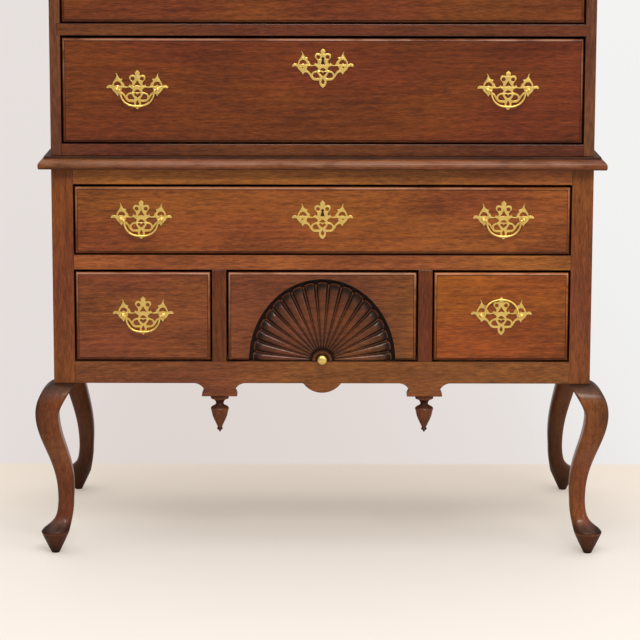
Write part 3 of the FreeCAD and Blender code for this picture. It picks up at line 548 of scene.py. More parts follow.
@dataclass(frozen=True)
class PaleFloor:
    """A cream floor, and behind the object the off-white of a wall that the camera and the brass see."""

    name: str = "pale_floor"
    tone: Colour = (0.46, 0.43, 0.4)
    cloud: Colour = (0.93, 0.9, 0.86)
    far: Colour = (1.0, 0.95, 0.88)
    lift: Colour = (0.3, 0.262, 0.225)
    left: Colour = (0.722, 0.672, 0.655)
    right: Colour = (0.82, 0.818, 0.816)
    shade: Colour = (0.93, 0.88, 0.85)
    wall_y: float = 0.4655

    def build(self) -> bpy.types.Material:
        """The finish as a material.

        Returns:
            The new material.
        """
        graph = ShaderGraph(self.name)
        place = graph.place()
        x, y, _ = graph.split(place)
        cloud = graph.noise(place, (3.0, 3.0, 3.0), 3.0)
        tone = graph.mix(cloud.step(0.4, 0.7) * 0.1, self.tone, self.cloud, "MULTIPLY")
        tone = graph.mix(y.step(-0.3, 0.5), tone, self.far, "MULTIPLY")
        camera = graph.node("ShaderNodeLightPath", {}, {}, "Is Camera Ray")
        glossy = graph.node("ShaderNodeLightPath", {}, {}, "Is Glossy Ray")
        wall = y.step(self.wall_y, self.wall_y + 0.012) * camera.most(glossy)
        # painted light: the wall brighter towards the right
        paper = graph.mix(x.step(-0.3, 1.1), self.left, self.right)
        # painted shade on the wall behind the middle of the object
        shaded = graph.math("ABSOLUTE", x).step(0.75, 0.4) * 0.75
        paper = graph.mix(shaded, paper, self.shade, "MULTIPLY")
        lift = graph.mix(camera, (0.0, 0.0, 0.0), self.lift)
        return graph.finish({
            "Base Color": graph.mix(wall, tone, (0.0, 0.0, 0.0)), "Roughness": 0.75,
            "Emission Color": graph.mix(wall, lift, paper), "Emission Strength": 1.0})


# ---------------------------------------------------------------- mesh building
class Form:
    """A mesh in the making: closed shells, added one by one."""

    def __init__(self) -> None:
        """Starts empty."""
        self.points: list[Vector] = []
        self.faces: list[list[int]] = []
        self.slots: list[int] = []

    def add(self, points: Iterable[Vector], faces: Iterable[Sequence[int]], slot: int = 0) -> None:
        """Adds faces over new points.

        Args:
            points: the new points.
            faces: each face's corners, as numbers of those points.
            slot: the material slot.
        """
        first = len(self.points)
        self.points += list(points)
        for corners in faces:
            self.faces.append([first + corner for corner in corners])
            self.slots.append(slot)

    def loft(self, rings: Sequence[Sequence[Vector]], slot: int = 0) -> None:
        """Joins rings of as many points each, and caps the first and the last.

        Args:
            rings: the rings, in order along the form.
            slot: the material slot.
        """
        count, size = len(rings), len(rings[0])
        faces = []
        for row in range(count - 1):
            low, high = row * size, (row + 1) * size
            for step in range(size):
                after = (step + 1) % size
                faces.append([low + step, low + after, high + after, high + step])
        faces.append(list(range(size))[::-1])
        faces.append(list(range((count - 1) * size, count * size)))
        self.add([point for ring in rings for point in ring], faces, slot)

    def box(self, low: Vector, high: Vector) -> None:
        """Adds a box.

        Args:
            low: its lowest corner.
            high: its highest corner.
        """
        corners = ((low.x, low.y), (high.x, low.y), (high.x, high.y), (low.x, high.y))
        self.loft([[Vector((x, y, z)) for x, y in corners] for z in (low.z, high.z)])

    def turn(self, outline: Sequence[Point], place: Callable[[float, float, float], Vector], sides: int) -> None:
        """Adds a turned piece.

        Args:
            outline: (radius, height) along its axis.
            place: where the point at (x, y, height) about that axis goes.
            sides: how many faces go round.
        """
        angles = [2 * math.pi * side / sides for side in range(sides)]
        rings = []
        for radius, height in outline:
            rings.append([place(radius * math.cos(a), radius * math.sin(a), height) for a in angles])
        self.loft(rings)

    def take(self, mesh: bpy.types.Mesh) -> None:
        """Adds a mesh's faces.

        Args:
            mesh: the mesh, which stays as it is.
        """
        self.add([vertex.co.copy() for vertex in mesh.vertices], [list(face.vertices) for face in mesh.polygons])

    def mirrored(self) -> "Form":
        """The same form on the other side of x = 0.

        Returns:
            The new form.
        """
        other = Form()
        other.points = [Vector((-p.x, p.y, p.z)) for p in self.points]
        other.faces = [corners[::-1] for corners in self.faces]
        other.slots = list(self.slots)
        return other

    def build(self, name: str, finishes: Sequence[bpy.types.Material], crease: float = 35.0,
              round_edges: float = 0.0) -> bpy.types.Object:
        """Makes the object.

        Args:
            name: its name.
            finishes: its material slots.
            crease: the angle in degrees past which an edge is sharp.
            round_edges: how far sharp edges are rounded off.

        Returns:
            The object, at the origin.
        """
        mesh = bpy.data.meshes.new(name)
        mesh.from_pydata(self.points, [], self.faces)
        for polygon, slot in zip(mesh.polygons, self.slots):
            polygon.material_index = slot
        return Builder.object_from(mesh, name, finishes, crease, round_edges)


class Builder:
    """What every sub-assembly needs to turn meshes into pieces of the object."""

    @staticmethod
    def object_from(mesh: bpy.types.Mesh, name: str, finishes: Sequence[bpy.types.Material],
                    crease: float, round_edges: float = 0.0) -> bpy.types.Object:
        """Welds a mesh, points its faces outwards, eases its edges and makes it an object.

        Args:
            mesh: the mesh, which is changed.
            name: the object's name.
            finishes: materials to add to the mesh's slots.
            crease: the angle in degrees past which an edge is sharp.
            round_edges: how far sharp edges are rounded off.

        Returns:
            The object, at the origin.
        """
        shape = bmesh.new()
        shape.from_mesh(mesh)
        bmesh.ops.remove_doubles(shape, verts=shape.verts, dist=WELD)
        bmesh.ops.recalc_face_normals(shape, faces=shape.faces)
        shape.to_mesh(mesh)
        shape.free()
        for finish in finishes:
            mesh.materials.append(finish)
        made = bpy.data.objects.new(name, mesh)
        bpy.context.scene.collection.objects.link(made)
        if round_edges:
            bevel = made.modifiers.new("ease", "BEVEL")
            bevel.width, bevel.segments, bevel.limit_method = round_edges, 2, "ANGLE"
            bevel.angle_limit = math.radians(crease)
            Builder.bake(made)
        made.data.shade_smooth()
        made.data.set_sharp_from_angle(angle=math.radians(crease))
        return made

    @staticmethod
    def bake(made: bpy.types.Object) -> None:
        """Replaces an object's mesh by the result of its modifiers, and removes them.

        Args:
            made: the object.
        """
        evaluated = made.evaluated_get(bpy.context.evaluated_depsgraph_get())
        mesh = bpy.data.meshes.new_from_object(evaluated)
        mesh.name = made.name
        made.modifiers.clear()
        made.data = mesh

    @staticmethod
    def shade(made: bpy.types.Object, rule: Callable[[Vector], float]) -> None:
        """Keeps each point's old polish and painted shade, up to 1, or its rubbing and painted highlight, down to
        -1.

        Args:
            made: the piece.
            rule: the depth at a point, which is held between -1 and 1.
        """
        values = made.data.attributes.new("hollow", "FLOAT", "POINT").data
        for vertex, value in zip(made.data.vertices, values):
            value.value = min(max(rule(vertex.co), -1.0), 1.0)

    @staticmethod
    def eased(node: str, finish: bpy.types.Material, edge: float) -> bpy.types.Object:
        """A CAD node's own shape with its edges eased by a plane's touch.

        Args:
            node: the CAD node.
            finish: its finish.
            edge: how far its edges are rounded off.

        Returns:
            The piece.
        """
        mesh = frame["nodes"][node].data.copy()
        mesh.materials.clear()
        shape = bmesh.new()
        shape.from_mesh(mesh)
        bmesh.ops.remove_doubles(shape, verts=shape.verts, dist=CAD_WELD)
        bmesh.ops.dissolve_limit(shape, angle_limit=math.radians(0.5), verts=shape.verts, edges=shape.edges)
        shape.to_mesh(mesh)
        shape.free()
        return Builder.object_from(mesh, node + "_eased", [finish], 20.0, edge)

    @staticmethod
    def settle(piece: bpy.types.Object, body: str, slot: Slot, *nodes: str) -> None:
        """Makes a piece ride on its body and stand for its CAD nodes.

        Args:
            piece: the piece.
            body: the body that carries it.
            slot: the record's material slot; not used.
            nodes: the CAD nodes that it stands for.
        """
        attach(piece, body)
        if nodes:
            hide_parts(*nodes)
        LOG.info("%s: %d faces, on %s", piece.name, len(piece.data.polygons), body)


def smooth_line(points: Sequence[Point]) -> list[Point]:
    """A Catmull-Rom line through points.

    Args:
        points: the points; one that is given twice stays a corner.

    Returns:
        The points along the line.
    """
    line = [points[0]]
    padded = [points[0], *points, points[-1]]
    for a, b, c, d in zip(padded, padded[1:], padded[2:], padded[3:]):
        if b == c:
            continue
        for step in range(1, LINE_STEPS + 1):
            t = step / LINE_STEPS
            weights = (-t ** 3 + 2 * t ** 2 - t, 3 * t ** 3 - 5 * t ** 2 + 2,
                       -3 * t ** 3 + 4 * t ** 2 + t, t ** 3 - t ** 2)
            line.append(tuple(sum(w * p[axis] for w, p in zip(weights, (a, b, c, d))) / 2 for axis in (0, 1)))
    return line


def arc_points(centre: Point, radius: float, start: float, end: float, steps: int) -> list[Point]:
    """Points along an arc.

    Args:
        centre: the arc's centre.
        radius: its radius.
        start: the angle in degrees where it starts.
        end: the angle where it ends.
        steps: how many pieces it is divided into.

    Returns:
        The points, one more than the pieces.
    """
    turns = [math.radians(start + (end - start) * step / steps) for step in range(steps + 1)]
    return [(centre[0] + radius * math.cos(t), centre[1] + radius * math.sin(t)) for t in turns]


def swell(value: float, middle: float, reach: float) -> float:
    """A smooth swell that is 1 at the middle and has nearly gone at twice the reach from it."""
    return math.exp(-((value - middle) / reach) ** 2)


# ---------------------------------------------------------------- lower case
@dataclass
class CabrioleLeg:
    """A corner post and its cabriole leg, cut from one piece."""

    post: float = 0.040
    case_bottom: float = 0.330
    knee_out: float = 0.034
    knee_width: float = 0.0435
    knee: float = 0.275
    knee_crest: float = 0.56
    knee_inside: float = 1.25
    knee_shade: float = 0.29
    calf: float = 1.2
    ankle_width: float = 0.0295
    ankle_setback: float = 0.0035
    ankle: float = 0.098
    bell: float = 0.265
    bell_power: float = 2.2
    foot_radius: float = 0.0263
    foot_out: float = 0.0016
    foot: float = 0.040
    pad_radius: float = 0.0072
    foot_round: float = 0.97
    ankle_round: float = 0.6
    post_round: float = 0.1
    edge: float = 0.0012
    top_edge: float = 0.0017
    corner_steps: int = 8
    foot_rings: tuple[float, ...] = (0, 0.03, 0.1, 0.2, 0.35, 0.5, 0.65, 0.8, 0.92, 0.985)
    ankle_rings: int = 26
    calf_rings: int = 36
    knee_rings: int = 24

    def faces(self, z: float) -> Point:
        """How far the leg reaches outside the case's faces, and inside them.

        Args:
            z: the height, from the foot's widest line up to the case.

        Returns:
            The two reaches.
        """
        foot_in = self.foot_radius - self.foot_out
        if z <= self.ankle:
            rise = (z - self.foot) / (self.ankle - self.foot)
            bell = 1 / (1 + (rise / self.bell) ** self.bell_power)
            end = 1 / (1 + (1 / self.bell) ** self.bell_power)
            reach = self.foot_radius + self.foot_out + self.ankle_setback
            out = reach * (bell - end) / (1 - end) - self.ankle_setback
            ankle_in = self.ankle_width + self.ankle_setback
            return out, foot_in + (ankle_in - foot_in) * math.sin(math.pi * rise / 2)
        if z <= self.knee:
            rise = ((z - self.ankle) / (self.knee - self.ankle)) ** self.calf
            out = (self.knee_out + self.ankle_setback) * (1 - math.cos(math.pi * rise)) / 2 - self.ankle_setback
            width = self.ankle_width + (self.knee_width - self.ankle_width) * math.sin(math.pi * rise / 2)
            return out, width - out
        rise = (z - self.knee) / (self.case_bottom - self.knee)
        knee_in = self.knee_width - self.knee_out
        out = self.knee_out * max(0.0, 1 - rise * rise) ** self.knee_crest
        return out, knee_in + (self.post - knee_in) * rise ** self.knee_inside

    def roundness(self, z: float) -> float:
        """How round the leg is.

        Args:
            z: the height.

        Returns:
            The corners' radius as a share of half the width.
        """
        if z <= self.ankle:
            rise = max(0.0, (z - self.foot) / (self.ankle - self.foot))
            return self.foot_round - (self.foot_round - self.ankle_round) * math.sin(math.pi * rise / 2)
        rise = (z - self.ankle) / (self.case_bottom - self.ankle)
        return self.ankle_round - (self.ankle_round - self.post_round) * rise ** 3

    def ring(self, centre: Vector, half: float, radius: float) -> list[Vector]:
        """A level square with rounded corners.

        Args:
            centre: its middle.
            half: half its width.
            radius: its corners' radius.

        Returns:
            The points round it.
        """
        points = []
        for quarter in range(4):
            corner = math.pi / 4 + quarter * math.pi / 2
            for step in range(self.corner_steps + 1):
                turn = corner - math.pi / 4 + step * math.pi / 2 / self.corner_steps
                x = math.copysign(half - radius, math.cos(corner)) + radius * math.cos(turn)
                y = math.copysign(half - radius, math.sin(corner)) + radius * math.sin(turn)
                points.append(centre + Vector((x, y, 0)))
        return points

    def section(self, z: float) -> list[Vector]:
        """The right front leg's section.

        Args:
            z: the height.

        Returns:
            The points round it.
        """
        if z < self.foot:
            share = (z / self.foot) ** 0.95
            half = self.pad_radius + (self.foot_radius - self.pad_radius) * share
            out = half + self.foot_out
        else:
            out, inside = self.faces(z)
            half = (out + inside) / 2
        centre = Vector((CASE_HALF + out - half, FRONT_PLANE + half - out, z))
        return self.ring(centre, half, half * self.roundness(max(z, self.foot)))

    def form(self) -> Form:
        """The right front leg, from its pad to the top of its post.

        Returns:
            One closed shell.
        """
        heights = [self.foot * share for share in self.foot_rings]
        for ring in range(self.ankle_rings + 1):
            heights.append(self.foot + (self.ankle - self.foot) * (ring / self.ankle_rings) ** 1.5)
        for ring in range(1, self.calf_rings + 1):
            heights.append(self.ankle + (self.knee - self.ankle) * ring / self.calf_rings)
        for ring in range(1, self.knee_rings + 1):
            turn = math.pi * ring / (2 * self.knee_rings)
            heights.append(self.knee + (self.case_bottom - self.knee) * math.sin(turn))
        rings = [self.section(z) for z in heights]
        post = Vector((CASE_HALF - self.post / 2, FRONT_PLANE + self.post / 2, 0))
        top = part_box("leg_front_right")[1].z
        for z, edge in ((self.case_bottom + 0.0004, self.edge), (top - 0.0005, self.edge), (top, self.top_edge)):
            rings.append(self.ring(post + Vector((0, 0, z)), self.post / 2, edge))
        made = Form()
        made.loft(rings)
        return made

    def hollow(self, point: Vector) -> float:
        """Painted shade under the case, round the foot, on the rim and the rear legs; painted highlights on knee
        and shin.

        Args:
            point: a point of a leg.

        Returns:
            How dark it is painted, or below 0 how light.
        """
        z, out = point.z, abs(point.x) - CASE_HALF
        if z > self.case_bottom + 0.0002:
            return 0.0
        # painted shade under the case
        under_case = max(0.0, (z - self.knee_shade) / (self.case_bottom - self.knee_shade))
        # the rear legs: painted shade, more towards the floor and under the case
        if point.y > 0:
            return 0.15 + 0.45 * max(0.0, 1 - z / 0.14) + 0.3 * under_case
        if abs(z - self.foot) < 0.0006:
            return 0.12
        # painted shade in the curve above the foot, and darker down its pad
        foot = 0.7 * swell(z, 0.047, 0.014) if z > self.foot else 0.32 + 0.5 * (1 - z / self.foot) ** 2
        # painted shade where the leg reaches out past the case's side
        rim = min(max(0.0, (out - 0.01) / 0.02), 1.0)
        # painted highlight on the knee's crown
        crown = swell(out, 0.0, 0.014) * swell(z, 0.306, 0.009)
        # painted highlight on the shin
        shin = swell(z, 0.2, 0.045)
        return 0.16 + max(under_case ** 1.5 * 0.8, foot) + rim * 0.4 - crown * 0.8 - shin * 0.3

    def build(self, finishes: Finishes) -> None:
        """Makes all four legs.

        Args:
            finishes: every finish by its name.
        """
        right = self.form()
        middle = FRONT_PLANE + CASE_DEPTH / 2
        for row in ("front", "rear"):
            for side in ("right", "left"):
                leg = right if side == "right" else right.mirrored()
                if row == "rear":
                    turned = Form()
                    turned.points = [Vector((p.x, 2 * middle - p.y, p.z)) for p in leg.points]
                    turned.faces, turned.slots = leg.faces, leg.slots
                    leg = turned
                # the rear legs take a darker finish, as painted shade
                finish = finishes["rear_post" if row == "rear" else f"post_{side}"]
                piece = leg.build(f"{row}_{side}_leg_and_post", [finish], 32.0)
                Builder.shade(piece, self.hollow)
                Builder.settle(piece, "root", Slot.MAHOGANY, f"leg_{row}_{side}")


@dataclass
class TurnedDrops:
    """The two turned drops under the apron's brackets."""

    sides: int = 48
    outline: tuple[Point, ...] = (
        (0.93, 0.0), (0.985, 0.006), (1.0, 0.02), (1.0, 0.06), (0.985, 0.075), (0.93, 0.083), (0.72, 0.1),
        (0.56, 0.13), (0.46, 0.17), (0.42, 0.2), (0.43, 0.225), (0.5, 0.25), (0.66, 0.275), (0.82, 0.295),
        (0.95, 0.32), (1.0, 0.345), (0.985, 0.37), (0.95, 0.385), (0.94, 0.395), (0.9, 0.45), (0.8, 0.55),
        (0.67, 0.63), (0.53, 0.7), (0.38, 0.78), (0.27, 0.84), (0.22, 0.865), (0.29, 0.88), (0.32, 0.9),
        (0.28, 0.925), (0.17, 0.94), (0.13, 0.95), (0.07, 0.975), (0.01, 1.0),
    )
    dowel_radius: float = 0.0045
    grooves: tuple[Point, ...] = ((-math.inf, 0.05), (0.1, 0.33), (0.84, math.inf))

    def hollow(self, down: float) -> float:
        """How dark a drop is a share of the way down: painted shade under the apron and in its neck, and darker at
        its tip.
        """
        return 0.3 + (0.5 if any(start < down < end for start, end in self.grooves) else 0.0)

    def build(self, finishes: Finishes) -> None:
        """Makes both drops, with the dowels that hold them.

        Args:
            finishes: every finish by its name.
        """
        low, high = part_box("drop_finials")
        apron_low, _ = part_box("front_apron")
        radius = (high.y - low.y) / 2
        middle = Vector((high.x - radius, (low.y + high.y) / 2, apron_low.z))
        outline = [(self.dowel_radius, high.z - apron_low.z), (self.dowel_radius, 0.0)]
        outline += [(radius * r, -(apron_low.z - low.z) * down) for r, down in self.outline]
        made = Form()
        for side in (-1, 1):
            centre = Vector((side * middle.x, middle.y, middle.z))
            made.turn(outline, lambda x, y, z, c=centre: c + Vector((x, y, z)), self.sides)
        piece = made.build("turned_drops", [finishes["post_right"]], 32.0)
        Builder.shade(piece, lambda point: self.hollow((apron_low.z - point.z) / (apron_low.z - low.z)))
        Builder.settle(piece, "root", Slot.MAHOGANY, "drop_finials")


@dataclass
class Mouldings:
    """The waist moulding and the cornice, mitred round the front corners."""

    ledge: float = 0.0049
    under_nose: float = -0.0165
    crown: Point = (-0.0125, -0.002)

    def waist_profile(self) -> list[Point]:
        """The waist moulding's outline.

        Returns:
            Its (projection, height) points, in millimetres above its underside.
        """
        nose = smooth_line([(22.1, 1.2), (22.9, 4.0), (23.0, 7.5), (22.4, 10.4), (21.0, 12.9), (17.5, 16.4),
                            (13.4, 18.9)])
        return [(-30, 0), (19.5, 0), (21.2, 0.3), *nose, (12.5, 19.1), (12.3, 19.5), (12.3, 23.4),
                (11.8, 24), (-30, 24)]

    def cornice_profile(self) -> list[Point]:
        """The cornice's outline.

        Returns:
            Its (projection, height) points, in millimetres above its underside.
        """
        cove = arc_points((24.0, 6.5), 18.5, 172, 96, 12)
        ovolo = arc_points((26.0, 46.0), 15.0, -84, -4, 12)
        return [(0, 0), (4.6, 0), (5.0, 0.4), (5.0, 5.0), *cove, (22.0, 25.6), (25.6, 25.6), (26.0, 26.0),
                (26.0, 30.4), *ovolo, (41.2, 53.0), (44.4, 53.0), (45.0, 53.6), (45.0, 65.4), (44.4, 66), (0, 66)]

    def sweep(self, profile: Sequence[Point], bottom: float) -> Form:
        """Carries a profile along the left side, the front and the right side.

        Args:
            profile: its (projection, height) points in millimetres.
            bottom: the height of its underside.

        Returns:
            The moulding, its front in the first material slot and its returns in the second.
        """
        made = Form()
        back = FRONT_PLANE + CASE_DEPTH
        corners = []
        for side, y in ((-1, back), (-1, None), (1, None), (1, back)):
            ring = []
            for reach, height in profile:
                x = side * (CASE_HALF + reach * MM)
                depth = FRONT_PLANE - reach * MM if y is None else y
                ring.append(Vector((x, depth, bottom + height * MM)))
            corners.append(ring)
        for step, (start, end) in enumerate(zip(corners, corners[1:])):
            made.loft([start, end], slot=0 if step == 1 else 1)
        return made

    def waist_shade_and_highlight(self, height: float) -> float:
        """Painted shade above the waist's nose and under it, and a painted highlight on its crown.

        Args:
            height: the height above the ledge at its top.

        Returns:
            How dark it is painted there, or below 0 how light.
        """
        if height > 0:
            return 0.75
        if height < self.under_nose:
            return 0.5
        return -0.3 if self.crown[0] < height < self.crown[1] else 0.0

    def build(self, finishes: Finishes) -> None:
        """Makes both mouldings.

        Args:
            finishes: every finish by its name.
        """
        dressed = [finishes["moulding"], finishes["moulding_return"]]
        waist = self.sweep(self.waist_profile(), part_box("waist_moulding")[0].z)
        waist = waist.build("waist_mitred_moulding", dressed, 28.0)
        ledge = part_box("waist_moulding")[1].z - self.ledge
        Builder.shade(waist, lambda point: self.waist_shade_and_highlight(point.z - ledge))
        Builder.settle(waist, "root", Slot.MAHOGANY, "waist_moulding")
        cornice = self.sweep(self.cornice_profile(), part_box("cornice_moulding")[0].z)
        cornice = cornice.build("cornice_mitred_moulding", dressed, 28.0)
        Builder.settle(cornice, "root", Slot.MAHOGANY, "cornice_moulding")


@dataclass
class CaseBoards:
    """The flat boards of both cases, with eased edges where they show."""

    edge: float = 0.0008
    between_posts: float = 0.468
    head: float = 0.478
    back_board: float = 0.19
    back_edge: float = 0.0012
    joint: float = 0.0006

    def build(self, finishes: Finishes) -> None:
        """Dresses every board.

        Args:
            finishes: every finish by its name.
        """
        eased = {
            "front_apron": "apron", "base_drawer_rails": "rail", "base_drawer_dividers": "divider",
            "upper_drawer_rails": "upper_rail", "base_side_left": "side", "base_side_right": "side",
            "upper_side_left": "side", "upper_side_right": "side", "upper_top_board": "top",
            "upper_bottom_board": "upper_rail"}
        for node, finish in eased.items():
            piece = Builder.eased(node, finishes[finish], self.edge)
            if finish not in ("side", "top"):
                Builder.shade(piece, lambda point: 0.7 if point.y > FRONT_PLANE + 0.0002 else 0.0)
            Builder.settle(piece, "root", Slot.MAHOGANY, node)
        for node in ("base_back_panel", "upper_back_panel"):
            self.back(node, finishes["back_board"])
        for node in ("base_drawer_runners", "upper_drawer_runners"):
            dress_node(node, finishes["secondary_wood"])

    def back(self, node: str, finish: bpy.types.Material) -> None:
        """Makes a back of level boards, each with eased edges that leave a fine groove at every joint.

        Args:
            node: the CAD node that the boards stand for.
            finish: their finish.
        """
        low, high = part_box(node)
        made = Form()
        half, top = high.x, high.z
        if node == "base_back_panel":
            half, top = self.between_posts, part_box("waist_moulding")[0].z
            made.box(Vector((-self.head, low.y, top)), Vector((self.head, high.y, high.z)))
        count = max(2, round((top - low.z) / self.back_board))
        for board in range(count):
            bottom = low.z + (top - low.z) * board / count
            edge = low.z + (top - low.z) * (board + 1) / count - self.joint
            made.box(Vector((-half, low.y, bottom)), Vector((half, high.y, edge)))
        piece = made.build(node + "_boards", [finish], 30.0, self.back_edge)
        middle = (low.y + high.y) / 2
        Builder.shade(piece, lambda point: 0.45 if middle < point.y < high.y - 0.0003 else 0.0)
        Builder.settle(piece, "root", Slot.SECONDARY, node)


def dress_node(node: str, finish: bpy.types.Material) -> None:
    """Gives a CAD node that stays in view its finish.

    Args:
        node: the CAD node.
        finish: its finish.
    """
    data = frame["nodes"][node].data
    data.materials.clear()
    data.materials.append(finish)


# ---------------------------------------------------------------- drawers
@dataclass
class DrawerFront:
    """A drawer front with a thumbnail edge, sunk a step below its field."""

    thumb_width: float = 0.0050
    thumb_depth: float = 0.0060
    thumb_turns: tuple[int, ...] = (8, 18, 30, 44, 58, 72, 82, 90)
    step: float = 0.0018

    def rings(self, low: Vector, high: Vector) -> list[list[Vector]]:
        """Rectangles from the front's back, round its edge, to its field.

        Args:
            low: the lowest corner of the CAD front.
            high: its highest corner.

        Returns:
            The rectangles, as rings of four points.
        """
        field = FRONT_PLANE - FIELD_PROUD
        root = field + self.step
        profile = [(0.0004, high.y), (0.0, high.y - 0.0004), (0.0, root + self.thumb_depth)]
        for turn in self.thumb_turns:
            along = math.radians(turn)
            width, depth = self.thumb_width * (1 - math.cos(along)), self.thumb_depth * (1 - math.sin(along))
            profile.append((width, root + depth))
        for past, drop in ((0.0001, 0.0005), (0.0006, 0.0), (0.0014, 0.0)):
            profile.append((self.thumb_width + past, field + drop))
        rings = []
        for inset, y in profile:
            left, right, bottom, top = low.x + inset, high.x - inset, low.z + inset, high.z - inset
            rings.append([Vector((x, y, z)) for x, z in (
                (left, bottom), (right, bottom), (right, top), (left, top))])
        return rings

    def hollow(self, low: Vector, high: Vector) -> Callable[[Vector], float]:
        """The rule: old polish in the step's root, painted shade on the front's sides and bottom, a painted
        highlight along its top.

        Args:
            low: the lowest corner of the CAD front.
            high: its highest corner.

        Returns:
            The rule, from a point to how dark it is made, or below 0 how light.
        """
        sides = FRONT_PLANE - FIELD_PROUD + self.step + 0.0025

        def rule(point: Vector) -> float:
            """How dark one point is made.

            Args:
                point: the point.

            Returns:
                The depth.
            """
            inset = min(point.x - low.x, high.x - point.x, point.z - low.z, high.z - point.z)
            if self.thumb_width - 0.00005 < inset < self.thumb_width + 0.0008:
                return 0.75
            if inset > self.thumb_width:
                return 0.0
            # a painted highlight along the top of the thumbnail edge, and a faint one on its sides
            rubbed = -0.85 if high.z - point.z < self.thumb_width + 0.0001 else -0.15
            # painted shade along the bottom of the edge
            if point.z - low.z < self.thumb_width:
                rubbed = 0.3
            if 0.0008 < inset < self.thumb_width:
                return rubbed
            # painted shade on the front's sides, darker further back
            return max(0.0, (point.y - sides) / 0.0045)
        return rule

    def build(self, drawer: str, finish: bpy.types.Material) -> None:
        """Makes one drawer's front.

        Args:
            drawer: the drawer's body.
            finish: its finish.
        """
        low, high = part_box(drawer + "_front")
        made = Form()
        made.loft(self.rings(low, high))
        piece = made.build(drawer + "_moulded_front", [finish], 30.0)
        Builder.shade(piece, self.hollow(low, high))
        Builder.settle(piece, drawer, Slot.MAHOGANY, drawer + "_front")


